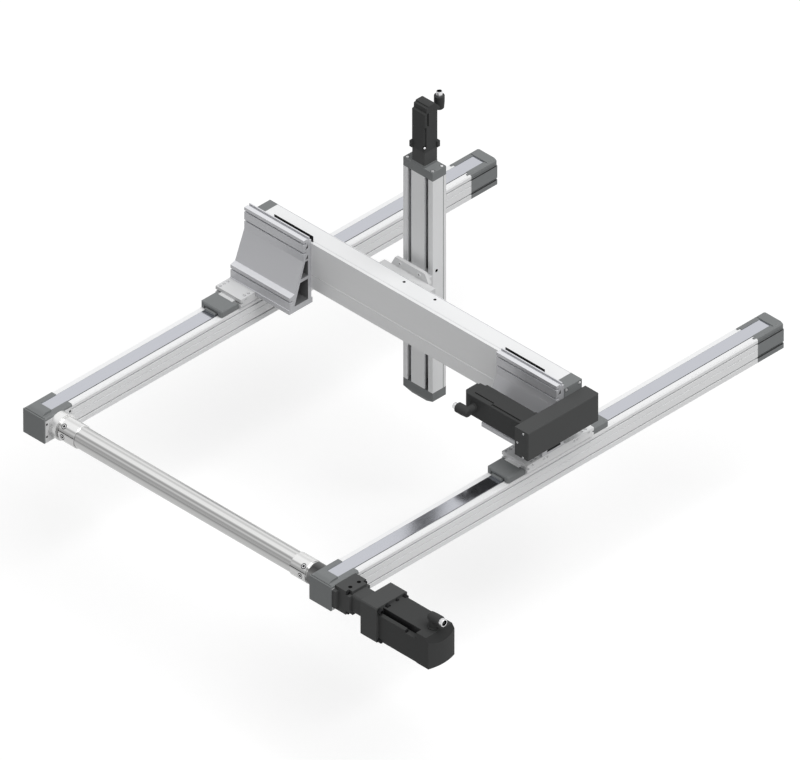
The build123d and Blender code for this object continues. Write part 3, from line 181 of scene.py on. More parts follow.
def worked_out(tree, kind, operation, first, second, result="Value"):
    """What a number or vector operation makes of two values."""
    node = tree.nodes.new("ShaderNode" + kind)
    node.operation = operation
    feed(tree, node.inputs[0], first)
    feed(tree, node.inputs[1], second)
    return node.outputs[result]


def carried(tree, value, start, end, low=0.0, high=1.0):
    """A value carried from one range to another."""
    remap = tree.nodes.new("ShaderNodeMapRange")
    for label, number in (("From Min", start), ("From Max", end), ("To Min", low), ("To Max", high)):
        remap.inputs[label].default_value = number
    tree.links.new(value, remap.inputs["Value"])
    return remap.outputs["Result"]


def part_space(tree):
    """Places on the part in its own space."""
    return tree.nodes.new("ShaderNodeTexCoord").outputs["Object"]


def true_normal(tree):
    """The way that the surface faces, without relief."""
    return tree.nodes.new("ShaderNodeNewGeometry").outputs["True Normal"]


def normal_along(tree, axis):
    """How far the surface faces along an axis."""
    parts = tree.nodes.new("ShaderNodeSeparateXYZ")
    tree.links.new(true_normal(tree), parts.inputs["Vector"])
    return parts.outputs[axis]


def grain(tree, stretch, scale, detail):
    """A noise value over the part, drawn out by the stretch."""
    drawn = tree.nodes.new("ShaderNodeMapping")
    drawn.inputs["Scale"].default_value = stretch
    tree.links.new(part_space(tree), drawn.inputs["Vector"])
    noise = tree.nodes.new("ShaderNodeTexNoise")
    noise.inputs["Scale"].default_value = scale
    noise.inputs["Detail"].default_value = detail
    tree.links.new(drawn.outputs["Vector"], noise.inputs["Vector"])
    return noise.outputs["Fac"]


def spread(tree, noise, low, high):
    """A noise value carried to a range."""
    return carried(tree, noise, *NOISE_RANGE, low, high)


def edge_mask(tree, radius):
    """The mask of a painted edge highlight, one near the part's edges and nothing on its faces, and the
    rounded way that it faces.
    """
    bevel = tree.nodes.new("ShaderNodeBevel")
    bevel.samples = 4
    bevel.inputs["Radius"].default_value = radius
    rounded = bevel.outputs["Normal"]
    alike = worked_out(tree, "VectorMath", "DOT_PRODUCT", rounded, true_normal(tree))
    flat, highlighted = 0.995, 0.85
    return carried(tree, alike, flat, highlighted), rounded


def tinted(colour, factor):
    """A colour made lighter or darker."""
    return tuple(min(1.0, part * factor) for part in colour) + (1.0,)


def blend_colours(tree, factor, first, second, way="MIX"):
    """Two colours mixed or multiplied by a value over the part."""
    mix = tree.nodes.new("ShaderNodeMix")
    mix.data_type = "RGBA"
    mix.blend_type = way
    feed(tree, mix.inputs["Factor"], factor)
    sockets = [socket for socket in mix.inputs if socket.type == "RGBA"]
    feed(tree, sockets[0], first)
    feed(tree, sockets[1], second)
    return [socket for socket in mix.outputs if socket.type == "RGBA"][0]


def facing_up(tree, start, end):
    """Nothing where the surface rises less than the start, one where it rises more than the end."""
    return carried(tree, normal_along(tree, "Z"), start, end)


def inside(tree, planes):
    """The mask of painted shade in a hollow: one on the walls that run along Y within a set of planes,
    nothing elsewhere.
    """
    place = part_space(tree)
    sideways = normal_along(tree, "Y")
    square = worked_out(tree, "Math", "MULTIPLY", sideways, sideways)
    end_face = 0.25
    total = worked_out(tree, "Math", "LESS_THAN", square, end_face)
    for direction, limit in planes:
        along = worked_out(tree, "VectorMath", "DOT_PRODUCT", place, direction)
        beyond = worked_out(tree, "Math", "GREATER_THAN", along, limit)
        total = worked_out(tree, "Math", "MULTIPLY", total, beyond)
    return total


# Most finishes carry painted light from here: a highlight on their edges and flat tops, and on some, painted
# shade on sloping faces and in hollows
def finish(name, colour, streak, metallic=0.0, rough=0.5, bump=0.05, edge=1.25, depth=0.03, shine=0.5,
           lift=1.0, painted_slope_shade=1.0, hollow=()):
    """A worked surface: its colour, drawing streaks, roughness, fine relief and a painted highlight on its
    edges.

    The edge, lift and slope are how much lighter its edges, flat tops and sloping faces are, all painted
    light and shade: painted highlight on edges and flat tops, painted shade on sloping faces. The walls
    within each set of planes in hollow take painted shade.
    """
    material, tree, shader = new_finish(name)
    streaks = grain(tree, streak, scale=60.0, detail=4.0)
    clouds = grain(tree, (1.0, 1.0, 1.0), scale=9.0, detail=3.0)
    deep = tinted(colour, 1.0 - depth)
    shade = blend_colours(tree, streaks, deep, tinted(colour, 1.0 + depth))
    shade = blend_colours(tree, spread(tree, clouds, 0.0, 0.35), shade, deep)
    # Painted shade on sloping faces, with the flat tops kept at the plain colour
    if painted_slope_shade != 1.0:
        shade = blend_colours(tree, facing_up(tree, 0.25, 0.35), shade, tinted(colour, painted_slope_shade))
        shade = blend_colours(tree, facing_up(tree, 0.9, 0.97), shade, tinted(colour, 1.0))
    # Painted highlight on the faces that face up
    if lift != 1.0:
        shade = blend_colours(tree, facing_up(tree, 0.8, 0.98), shade, tinted(colour, lift))
    # Painted shade on the walls of the hollows
    for planes in hollow:
        shade = blend_colours(tree, inside(tree, planes), shade, tinted(colour, PAINTED_HOLLOW_SHADE))
    # Painted highlight along the edges, where the rounded normal turns from the true one
    highlighted, rounded = edge_mask(tree, sizes().edge_round)
    shade = blend_colours(tree, highlighted, shade, tinted(colour, edge))
    tree.links.new(shade, shader.inputs["Base Color"])
    tree.links.new(spread(tree, streaks, rough * 0.88, rough * 1.12), shader.inputs["Roughness"])
    shader.inputs["Metallic"].default_value = metallic
    shader.inputs["Specular IOR Level"].default_value = shine
    relief = tree.nodes.new("ShaderNodeBump")
    relief.inputs["Strength"].default_value = bump
    relief.inputs["Distance"].default_value = 0.2 * MM
    tree.links.new(streaks, relief.inputs["Height"])
    tree.links.new(rounded, relief.inputs["Normal"])
    tree.links.new(relief.outputs["Normal"], shader.inputs["Normal"])
    return material


def painted_reflection_metal(name, radius, bands, rough, metallic=1.0):
    """Polished round metal along Y with painted reflections: long bright and dark bands painted round the
    shaft's axis.

    Each band is a place across the round, from its lit side to its dark side, and a grey.
    """
    material = finish(name, colours().tube, ALONG_Y, metallic, rough, edge=1.0, depth=0.015)
    tree = material.node_tree
    axis = (SHAFT_X, 0.0, SHAFT_UP)
    shift = worked_out(tree, "VectorMath", "SUBTRACT", part_space(tree), axis, "Vector")
    lean = -math.sqrt(0.5) / (2 * radius)
    across = worked_out(tree, "VectorMath", "DOT_PRODUCT", shift, (lean, 0.0, lean))
    # The painted reflections: a grey for each place across the round
    ramp = tree.nodes.new("ShaderNodeValToRGB")
    stops = ramp.color_ramp.elements
    for spot, grey in bands[1:-1]:
        stops.new(spot)
    for stop, (spot, grey) in zip(stops, bands):
        stop.color = (grey, grey, grey, 1.0)
    tree.links.new(worked_out(tree, "Math", "ADD", across, 0.5), ramp.inputs["Fac"])
    colour = tree.nodes["Principled BSDF"].inputs["Base Color"]
    worked = colour.links[0].from_socket
    tree.links.new(blend_colours(tree, 1.0, worked, ramp.outputs["Color"], "MULTIPLY"), colour)
    return material


def extruded_aluminium(name, streak):
    """Clear anodised aluminium with drawing lines along its length, and a painted highlight on its edges and
    flat tops.
    """
    return finish(name, colours().aluminium, streak, metallic=0.06, rough=0.42, bump=0.10, edge=1.08,
                  lift=1.16)


def bracket_aluminium():
    """Satin extruded aluminium of the two angle brackets, with painted shade inside their hollows and a
    strong painted highlight on their flat tops.
    """
    red, green, blue = tinted(colours().aluminium, 0.68)[:3]
    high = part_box("drive_bracket")[1]
    back = high.x - 4.5 * MM
    foot = high.z - 215 * MM
    wall = 11.9 * MM
    # The floor of each hollow, the lean of its front wall and how far that wall stands from the back
    chambers = ((0.0176, 0.323, 0.069), (0.1479, 0.75, 0.1338), (0.1814, 0.808, 0.1695))
    hollows = []
    for floor, lean, reach in chambers:
        front = back - lean * foot - reach
        hollows.append(((-X_AXIS, wall - back), (Z_AXIS, foot + floor), ((1.0, 0.0, -lean), front)))
    return finish("bracket_aluminium", (red, green, blue * 1.03), ALONG_Y, metallic=0.22, rough=0.34,
                  bump=0.04, edge=1.15, depth=0.02, lift=1.55, hollow=hollows)


def machined_aluminium():
    """Milled and blasted aluminium of the plates, blocks and carriages."""
    return finish("machined_aluminium", tinted(colours().aluminium, 0.84)[:3], ALL_WAYS, metallic=0.06,
                  rough=0.48, bump=0.14, edge=1.12, lift=1.06)


def polished_strip():
    """The rolled steel cover strip, close to a mirror."""
    return finish("polished_strip", colours().strip, ALONG_X, metallic=1.0, rough=0.14, bump=0.04, edge=1.1,
                  depth=0.02)


def ground_steel(name, streak):
    """Ground and hardened steel."""
    return finish(name, colours().steel, streak, metallic=1.0, rough=0.28, bump=0.10, edge=1.3)


def turned_tube():
    """The bright connecting tube, polished along its length, with painted reflections across its round."""
    bands = ((0.0, 0.6), (0.07, 0.7), (0.13, 0.93), (0.2, 0.7), (0.27, 0.97), (0.37, 0.97), (0.44, 0.4),
             (0.49, 0.45), (0.54, 0.7), (0.61, 0.4), (0.69, 0.45), (0.75, 0.25), (0.83, 0.46), (1.0, 0.44))
    return painted_reflection_metal("turned_tube", 0.031, bands, 0.2)


def turned_hub():
    """The turned clamping couplings, with painted reflections brighter than the tube's."""
    bands = ((0.0, 0.6), (0.06, 1.0), (0.18, 0.8), (0.25, 1.0), (0.44, 1.0), (0.5, 0.45), (0.58, 0.7),
             (0.66, 0.42), (0.74, 0.36), (0.8, 0.62), (1.0, 0.6))
    return painted_reflection_metal("turned_hub", 0.034, bands, 0.22, 0.6)


def dark_collar():
    """The dark metal collar on the drive head, with painted reflections and shade across its round."""
    bands = ((0.0, 0.24), (0.12, 0.16), (0.3, 0.07), (0.5, 0.14), (0.62, 0.26), (0.75, 0.14), (1.0, 0.07))
    return painted_reflection_metal("dark_collar", 0.033, bands, 0.35)


def bright_boss():
    """The bright turned boss on the left head, with painted reflections across its round."""
    bands = ((0.0, 0.85), (0.15, 1.0), (0.4, 1.0), (0.52, 0.8), (0.68, 0.68), (0.85, 0.7), (1.0, 0.6))
    return painted_reflection_metal("bright_boss", 0.038, bands, 0.3, 0.6)


def moulded_cover():
    """Dark grey plastic with a fine moulded grain."""
    return finish("moulded_cover", colours().cover, MOULDED, rough=0.52, bump=0.25, depth=0.05, shine=0.12,
                  lift=1.05)


def black_coat():
    """The black coating of the gearbox, the wide flange and the side drive."""
    return finish("black_coat", tinted(colours().motor, 1.36)[:3], COATED, bump=0.2, edge=1.3, depth=0.06,
                  shine=0.04, lift=1.08)


def motor_housing():
    """Extruded black motor housings."""
    return finish("motor_housing", colours().motor, ALONG_Y, bump=0.12, edge=1.3, depth=0.05, shine=0.04,
                  lift=1.04)


def rear_cap():
    """The X motor's rear cover, with painted shade on its sloping rim."""
    return finish("rear_cap", colours().motor, COATED, bump=0.2, edge=1.5, depth=0.05, shine=0.04, painted_slope_shade=0.62)


def belt_rubber():
    """The toothed belts."""
    return finish("belt_rubber", colours().rubber, RUBBERY, rough=0.75, bump=0.3, edge=1.4, depth=0.1)


def bright_screw():
    """Zinc plated screw heads, and the bright rings and lines."""
    return finish("bright_screw", (0.86, 0.86, 0.87), ALL_WAYS, metallic=0.45, rough=0.25, edge=1.1)


def black_screw():
    """Blackened screw heads, the dark gaps and bars, and the painted shade in the X motor's channel."""
    return finish("black_screw", (0.014, 0.014, 0.015), ALL_WAYS, rough=0.4, edge=2.0, shine=0.12)


def hole_shade():
    """Painted shade that stands for the dark depth of a tapped hole or a socket, and of the other recesses
    and gaps that take it.
    """
    return finish("hole_shade", (0.006, 0.006, 0.006), ALL_WAYS, rough=0.8, edge=1.0, shine=0.04)


FINISHES = {}


def finish_named(name):
    """A finish, made once."""
    makers = {
        "profile_x": lambda: extruded_aluminium("profile_x", ALONG_X),
        "profile_y": lambda: extruded_aluminium("profile_y", ALONG_Y),
        "profile_z": lambda: extruded_aluminium("profile_z", ALONG_Z),
        "machined": machined_aluminium,
        "bracket": bracket_aluminium,
        "strip": polished_strip,
        "steel_x": lambda: ground_steel("steel_x", ALONG_X),
        "steel_y": lambda: ground_steel("steel_y", ALONG_Y),
        "steel_z": lambda: ground_steel("steel_z", ALONG_Z),
        "tube": turned_tube,
        "hub": turned_hub,
        "collar": dark_collar,
        "boss": bright_boss,
        "cover": moulded_cover,
        "black": black_coat,
        "motor": motor_housing,
        "rear_cap": rear_cap,
        "rubber": belt_rubber,
        "bright_screw": bright_screw,
        "black_screw": black_screw,
        "hole": hole_shade,
    }
    if name not in FINISHES:
        FINISHES[name] = makers[name]()
    return FINISHES[name]


NODE_FINISHES = {
    # The drive carriage takes the brighter profile finish as painted light against the shade that falls on
    # its lower face
    "profile_x": ("drive_x_profile", "left_x_profile", "drive_x_carriage"),
    "profile_y": ("y_profile", "y_cover_plate"),
    "bracket": ("drive_bracket", "left_bracket"),
    "profile_z": ("z_profile", "z_cover_plate"),
    "machined": ("drive_x_head", "left_x_head", "left_x_carriage", "y_carriage", "cross_plate", "z_carriage"),
    "strip": ("x_strips",),
    "steel_x": ("x_rails", "x_guide_blocks"),
    "steel_y": ("y_rails", "y_screw", "y_nut", "y_guide_blocks", "shaft_bearings", "drive_pulleys",
                "drive_idler", "left_idler", "y_screw_pulley", "y_motor_pulley"),
    "steel_z": ("z_rails", "z_screw", "z_nut", "z_guide_blocks"),
    "tube": ("shaft_tube",),
    "hub": ("shaft_couplings",),
    "collar": ("shaft_collar",),
    "boss": ("shaft_boss",),
    "cover": ("x_head_covers", "x_tail_covers", "x_carriage_caps", "drive_x_tail", "left_x_tail",
              "y_right_end", "y_left_end", "z_top_block", "z_end_cap"),
    "black_screw": ("bracket_strips",),
    "black": ("gearbox_mount", "gearbox", "x_motor_flange", "side_drive_housing", "side_drive_cover"),
    "rear_cap": ("x_motor_cover",),
    "motor": ("x_motor", "y_motor", "z_motor", "x_motor_connector", "y_motor_connector", "z_motor_connector"),
    "rubber": ("x_belts", "y_drive_belt"),
}


# Mesh helpers

SIDEWAYS = Matrix(((1, 0, 0, 0), (0, 0, 1, 0), (0, 1, 0, 0), (0, 0, 0, 1)))


def facing(point, direction):
    """The placing matrix of a small part that stands on a point and faces a way."""
    turn = Vector(direction).to_track_quat("Z", "Y").to_matrix().to_4x4()
    return Matrix.Translation(Vector(point)) @ turn


def axes(origin, outward, aft):
    """A placing matrix with its X outward and its Z aft."""
    third = Vector(aft).cross(Vector(outward))
    turn = Matrix((Vector(outward), third, Vector(aft))).transposed().to_4x4()
    return Matrix.Translation(Vector(origin)) @ turn


def band(mesh, low, high, index):
    """A closed band of faces between two loops of corners."""
    for step, corner in enumerate(low):
        following = (step + 1) % len(low)
        side = [corner, low[following], high[following], high[step]]
        mesh.faces.new(side).material_index = index


def ring_stack(mesh, rings, place, steps=0):
    """Closed skin through rings of radius and height, and of sides and finish where they are given.

    A ring with 0 sides is round.
    """
    steps = steps or sizes().round_steps
    previous = None
    for radius, height, *more in rings:
        sides, index = more or (0, 0)
        current = []
        for step in range(steps):
            angle = 2 * math.pi * step / steps
            reach = radius
            if sides:
                slice_angle = 2 * math.pi / sides
                reach = radius * math.cos(slice_angle / 2) / math.cos(angle % slice_angle - slice_angle / 2)
            spot = Vector((reach * math.cos(angle), reach * math.sin(angle), height))
            current.append(mesh.verts.new(place @ spot))
        if previous:
            band(mesh, previous, current, index)
        else:
            mesh.faces.new(list(reversed(current))).material_index = index
        previous = current
    mesh.faces.new(previous).material_index = index


def prism(mesh, outline, start, end, place, index=0):
    """A section carried straight from one height to another, closed at both ends."""
    low = [mesh.verts.new(place @ Vector((x, y, start))) for x, y in outline]
    high = [mesh.verts.new(place @ Vector((x, y, end))) for x, y in outline]
    mesh.faces.new(list(reversed(low))).material_index = index
    mesh.faces.new(high).material_index = index
    band(mesh, low, high, index)


def rectangle(left, bottom, right, top):
    """The outline of a rectangle."""
    return [(left, bottom), (right, bottom), (right, top), (left, top)]


def broken_square(half, edge):
    """The outline of a square with its corners broken."""
    near = half - edge
    return [(-near, -half), (near, -half), (half, -near), (half, near), (near, half), (-near, half),
            (-half, near), (-half, -near)]


def grooved_square(half, edge, near, far, depth):
    """A square outline with broken corners and one groove on each of two opposite sides."""
    inner = half - edge
    side = [(-inner, -half), (near - half, -half), (near - half, depth - half), (far - half, depth - half),
            (far - half, -half), (inner, -half), (half, -inner), (half, inner)]
    return side + [(-x, -y) for x, y in side]


def rebated_square(half, edge, width, depth):
    """A square outline with two corners broken and the other two stepped back."""
    inner = half - edge
    side = [(-half, depth - half), (width - half, depth - half), (width - half, -half), (inner, -half),
            (half, -inner)]
    return side + [(-x, -y) for x, y in side]


def built(name, mesh, body, finishes):
    """Turns mesh code into an object that rides on a body, with its finishes in order."""
    bmesh.ops.recalc_face_normals(mesh, faces=mesh.faces)
    data = bpy.data.meshes.new(name)
    mesh.to_mesh(data)
    mesh.free()
    data.shade_smooth()
    data.set_sharp_from_angle(angle=math.radians(32))
    for each in finishes:
        data.materials.append(finish_named(each))
    piece = bpy.data.objects.new(name, data)
    bpy.context.scene.collection.objects.link(piece)
    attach(piece, body)
    return piece


def straight_bars(name, body, look, outline, length, places):
    """Straight bars of one section, all in one piece."""
    mesh = bmesh.new()
    for place in places:
        prism(mesh, outline, 0.0, length, place)
    return built(name, mesh, body, [look])


def round_parts(name, body, finishes, rings, places):
    """The same round part standing on each point and facing its way, all in one piece."""
    mesh = bmesh.new()
    for point, direction in places:
        ring_stack(mesh, rings, facing(point, direction))
    return built(name, mesh, body, finishes)


def cap_screws(name, body, places, radius, height, screw_finish):
    """Socket head screws, with painted shade in the socket."""
    edge = radius * 0.14
    socket = radius * 0.58
    rings = [(radius, 0.0), (radius, height - edge), (radius - edge, height), (socket, height, 6, 0),
             (socket, height * 0.45, 6, 1)]
    return round_parts(name, body, [screw_finish, "hole"], rings, places)


def sunk_screws(name, body, places, radius, drop):
    """Bright round heads sunk in counterbores whose walls carry painted shade."""
    rings = [(radius * 1.4, 0.0, 0, 1), (radius * 1.4, drop, 0, 1), (radius * 1.28, drop, 0, 1),
             (radius * 1.24, drop * 0.5, 0, 1), (radius * 0.98, drop * 0.5), (radius * 0.9, drop * 0.97),
             (radius * 0.4, drop)]
    return round_parts(name, body, ["bright_screw", "hole"], rings, places)


def tapped_holes(name, body, places, radius, rim="machined", depth="hole"):
    """Tapped holes with a countersunk rim, and a shallow floor in the depth finish, which is painted shade
    unless another is given.
    """
    lift = 0.12 * MM
    rings = [(radius * 1.3, 0.0), (radius * 1.3, lift), (radius * 1.12, lift), (radius, lift * 0.4, 0, 1)]
    return round_parts(name, body, [rim, depth], rings, places)


def socket_shape(mesh, place, size):
    """An angled plug socket: stub, leaning barrel, bright ring with painted shade in its mouth, and the pin
    in it.
    """
    stub, rise, barrel, length, tip, tip_length = size
    rings = [(stub * 1.12, 0.0), (stub * 1.12, rise * 0.12), (stub * 0.94, rise * 0.14), (stub * 0.94, rise)]
    ring_stack(mesh, rings, place @ axes((0, 0, stub), Z_AXIS, X_AXIS))
    edge = barrel * 0.12
    mouth = tip * 0.9
    barrel_place = place @ Matrix.Translation((rise, 0, 0))
    rings = [(barrel * 0.66, 0.0), (barrel * 0.9, edge * 2), (barrel, length * 0.5), (barrel, length - edge),
             (barrel - edge, length), (mouth, length), (mouth, length + tip_length * 0.2, 0, 1),
             (tip, length + tip_length * 0.25, 0, 1), (tip, length + tip_length * 0.94, 0, 1),
             (tip * 0.95, length + tip_length, 0, 1), (tip * 0.76, length + tip_length, 0, 1),
             (tip * 0.7, length + tip_length * 0.4, 0, 2)]
    ring_stack(mesh, rings, barrel_place)
    pin = [(tip * 0.3, length + tip_length * 0.3), (tip * 0.3, length + tip_length * 0.85)]
    ring_stack(mesh, pin, barrel_place)


# Operators

class GANTRY_OT_finishes(bpy.types.Operator):
    """Gives every part of the frame its finish"""

    bl_idname = "gantry.finishes"
    bl_label = "Finishes"

    def execute(self, context):
        for name, members in NODE_FINISHES.items():
            for member in members:
                part = nodes[member]
                part.data.materials.clear()
                part.data.materials.append(finish_named(name))
        bare = [name for name in nodes if name not in sum(NODE_FINISHES.values(), ())]
        if bare:
            raise RuntimeError("parts without a finish: " + ", ".join(bare))
        return {"FINISHED"}


class GANTRY_OT_block_screws(bpy.types.Operator):
    """Puts the bright screws in the end blocks of both screw modules"""

    bl_idname = "gantry.block_screws"
    bl_label = "End block screws"

    def execute(self, context):
        inset = 8 * MM
        sunk = 4.6 * MM
        radius = sizes().block_screw * 0.86
        low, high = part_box("z_top_block")
        places = []
        for x in (low.x + inset, high.x - inset):
            for y in (low.y + inset, high.y - inset):
                places.append(((x, y, high.z - sunk), Z_AXIS))
        sunk_screws("z_top_screws", "z_frame", places, radius, sunk)
        places = []
        for node, side in (("y_right_end", -1), ("y_left_end", 1)):
            low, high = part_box(node)
            face = low.y + sunk if side < 0 else high.y - sunk
            for x in (low.x + inset, high.x - inset):
                for z in (low.z + inset, high.z - inset):
                    places.append(((x, face, z), Y_AXIS * side))
        sunk_screws("y_end_screws", "bridge", places, radius, sunk)
        return {"FINISHED"}


class GANTRY_OT_plate_screws(bpy.types.Operator):
    """Puts the screws in the cross plate"""

    bl_idname = "gantry.plate_screws"
    bl_label = "Cross plate screws"

    def execute(self, context):
        low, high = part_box("cross_plate")
        middle = (low.y + high.y) / 2
        spacing = 35.8 * MM
        inset = 11.5 * MM
        places = []
        for y in (middle - spacing, middle + spacing):
            for z in (low.z + inset, high.z - inset):
                places.append(((low.x, y, z), -X_AXIS))
        cap_screws("cross_plate_screws", "y_slide", places, 4.5 * MM, 2.2 * MM, "bright_screw")
        return {"FINISHED"}


class GANTRY_OT_head_screws(bpy.types.Operator):
    """Puts the dark screws in the heads of the belt modules"""

    bl_idname = "gantry.head_screws"
    bl_label = "Head screws"

    def execute(self, context):
        upper = 58 * MM
        lower = 18.6 * MM
        places = []
        for node in ("drive_x_head", "left_x_head"):
            low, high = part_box(node)
            outer = low.x + 5.5 * MM
            inner = high.x - 8 * MM
            for x, z in ((outer, upper), (outer, lower), (inner, upper)):
                places.append(((x, low.y, z), -Y_AXIS))
                places.append(((x, high.y, z), Y_AXIS))
        cap_screws("head_screws", "base", places, sizes().cover_screw, 0.6 * MM, "black_screw")
        return {"FINISHED"}


class GANTRY_OT_drive_bolts(bpy.types.Operator):
    """Puts the black bolts in the gearbox mount and in the wide motor flange, with its plug and pin"""

    bl_idname = "gantry.drive_bolts"
    bl_label = "X drive bolts"

    def execute(self, context):
        low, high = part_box("gearbox_mount")
        inset = 6 * MM
        spacing = 32 * MM
        seat = low.y + 14 * MM
        places = []
        for x in (SHAFT_X - spacing, SHAFT_X + spacing):
            for z in (low.z + inset, high.z - inset):
                places.append(((x, seat, z), -Y_AXIS))
        cap_screws("mount_bolts", "base", places, sizes().mount_bolt, 6 * MM, "black_screw")
        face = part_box("x_motor_flange")[0].y
        corners = [(x, z) for x in (-46.5, 46.5) for z in (-47, 46.5)]
        # Places from the shaft's axis, radius and height, all in mm
        fittings = (("flange_bolts", corners, 7, 11), ("flange_plug", [(-17.5, 48)], 7, 9),
                    ("flange_pin", [(18.5, 49)], 4.5, 6))
        for name, spots, radius, height in fittings:
            places = [((SHAFT_X + x * MM, face, SHAFT_UP + z * MM), -Y_AXIS) for x, z in spots]
            cap_screws(name, "base", places, radius * MM, height * MM, "black_screw")
        return {"FINISHED"}


class GANTRY_OT_carriage_holes(bpy.types.Operator):
    """Puts the holes in the X carriages and the gearbox mount, and the oil holes in the screw modules"""

    bl_idname = "gantry.carriage_holes"
    bl_label = "Carriage and oil holes"

    def execute(self, context):
        radius = sizes().tapped_hole
        row = 38 * MM
        under_top = 8 * MM
        left_row = (0.116, 0.1015, 0.087)
        right_row = (0.1015, 0.087)
        side_row = (0.105, 0.062, 0.05)
        places = []
        for node in ("drive_x_carriage", "left_x_carriage"):
            low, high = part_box(node)
            middle = (low.y + high.y) / 2
            for end in (-1, 1):
                places += [((end * x, middle + row, high.z), Z_AXIS) for x in left_row]
                places += [((end * x, middle - row, high.z), Z_AXIS) for x in right_row]
                places += [((end * x, low.y, high.z - under_top), -Y_AXIS) for x in side_row]
        tapped_holes("carriage_holes", "bridge", places, radius * 1.3, "steel_x", "machined")
        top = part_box("y_profile")[1].z
        places = [((59.3 * MM, y * MM, top), Z_AXIS) for y in (479.3, 594.3)]
        tapped_holes("beam_oil_holes", "bridge", places, radius * 1.4)
        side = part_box("z_profile")[0].y
        tapped_holes("z_oil_hole", "z_frame", [((141 * MM, side, 304.5 * MM), -Y_AXIS)], radius * 1.6)
        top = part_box("gearbox_mount")[1].z
        places = [((SHAFT_X + x * MM, -75 * MM, top), Z_AXIS) for x in (-16, 16)]
        # The mount holes take painted shade on their rims as well as in their depth
        tapped_holes("mount_holes", "base", places, 4.4 * MM, "hole")
        return {"FINISHED"}


class GANTRY_OT_box_screws(bpy.types.Operator):
    """Puts the small bright screws in the side drive's end face and the dark gaps along the tails"""

    bl_idname = "gantry.box_screws"
    bl_label = "Side drive screws and tail gaps"

    def execute(self, context):
        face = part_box("side_drive_housing")[0].x
        corners = ((-0.081, 0.252), (-0.059, 0.214), (-0.080, 0.175))
        places = [((face, y, z), -X_AXIS) for y, z in corners]
        cap_screws("box_screws", "bridge", places, 3.1 * MM, 0.8 * MM, "bright_screw")
        proud = 0.08 * MM
        lower, upper = 15.8 * MM, 61.3 * MM
        places = []
        for node in ("drive_x_tail", "left_x_tail"):
            low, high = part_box(node)
            for z in (lower, upper):
                for y in (low.y - proud, high.y + proud):
                    places.append(axes((low.x, y, z), Z_AXIS, X_AXIS))
        gap = rectangle(-2 * MM, -0.2 * MM, 2 * MM, 0.2 * MM)
        straight_bars("tail_gaps", "base", "black_screw", gap, high.x - low.x - 4 * MM, places)
        return {"FINISHED"}


class GANTRY_OT_beam_bars(bpy.types.Operator):
    """Builds the two thin dark bars that stand on the beam behind the brackets"""

    bl_idname = "gantry.beam_bars"
    bl_label = "Beam bars"

    def execute(self, context):
        low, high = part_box("bracket_strips")
        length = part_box("drive_bracket")[1].y - low.y
        thick = high.x - low.x
        bar = rectangle(thick * 0.25, 0.0, thick * 0.75, high.z - low.z)
        places = [Matrix.Translation((low.x, y, low.z)) @ SIDEWAYS for y in (low.y, high.y - length)]
        piece = straight_bars("thin_bars", "bridge", "black_screw", bar, length, places)
        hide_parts("bracket_strips")
        return {"FINISHED"}


class GANTRY_OT_beam_lines(bpy.types.Operator):
    """Draws the fine joint lines on the beam and the upright module, and narrows its cover"""

    bl_idname = "gantry.beam_lines"
    bl_label = "Joint lines"

    def execute(self, context):
        low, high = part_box("y_profile")
        length = high.y - low.y
        line = rectangle(-0.3 * MM, -43.5 * MM, 0.4 * MM, -42.3 * MM)
        places = [axes((low.x, low.y, low.z), X_AXIS, Y_AXIS)]
        straight_bars("beam_line", "bridge", "bright_screw", line, length, places)
        line = rectangle(-0.5 * MM, -0.2 * MM, 0.5 * MM, 0.2 * MM)
        places = [axes((high.x - 2.2 * MM, low.y, high.z), X_AXIS, Y_AXIS)]
        straight_bars("beam_edge", "bridge", "steel_y", line, length, places)
        low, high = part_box("z_profile")
        length = high.z - low.z
        line = rectangle(-0.2 * MM, -0.3 * MM, 0.4 * MM, 0.3 * MM)
        places = [axes((low.x, low.y + y * MM, low.z), X_AXIS, Z_AXIS) for y in (12.5, 30.5, 79.5, 97.5)]
        straight_bars("upright_lines", "z_frame", "steel_z", line, length, places)
        line = rectangle(-0.8 * MM, -0.2 * MM, 0.8 * MM, 0.2 * MM)
        places = [axes((high.x - 10 * MM, low.y, low.z), X_AXIS, Z_AXIS)]
        straight_bars("upright_joint", "z_frame", "cover", line, length, places)
        low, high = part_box("z_cover_plate")
        half = (high.y - low.y) / 2 - 2.6 * MM
        deep = high.x - low.x
        edge = 0.4 * MM
        plate = [(edge, -half), (deep, -half), (deep, half), (edge, half), (0.0, half - edge),
                 (0.0, edge - half)]
        places = [axes((low.x, (low.y + high.y) / 2, low.z), X_AXIS, Z_AXIS)]
        piece = straight_bars("upright_cover", "z_frame", "profile_z", plate, high.z - low.z, places)
        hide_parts("z_cover_plate")
        return {"FINISHED"}


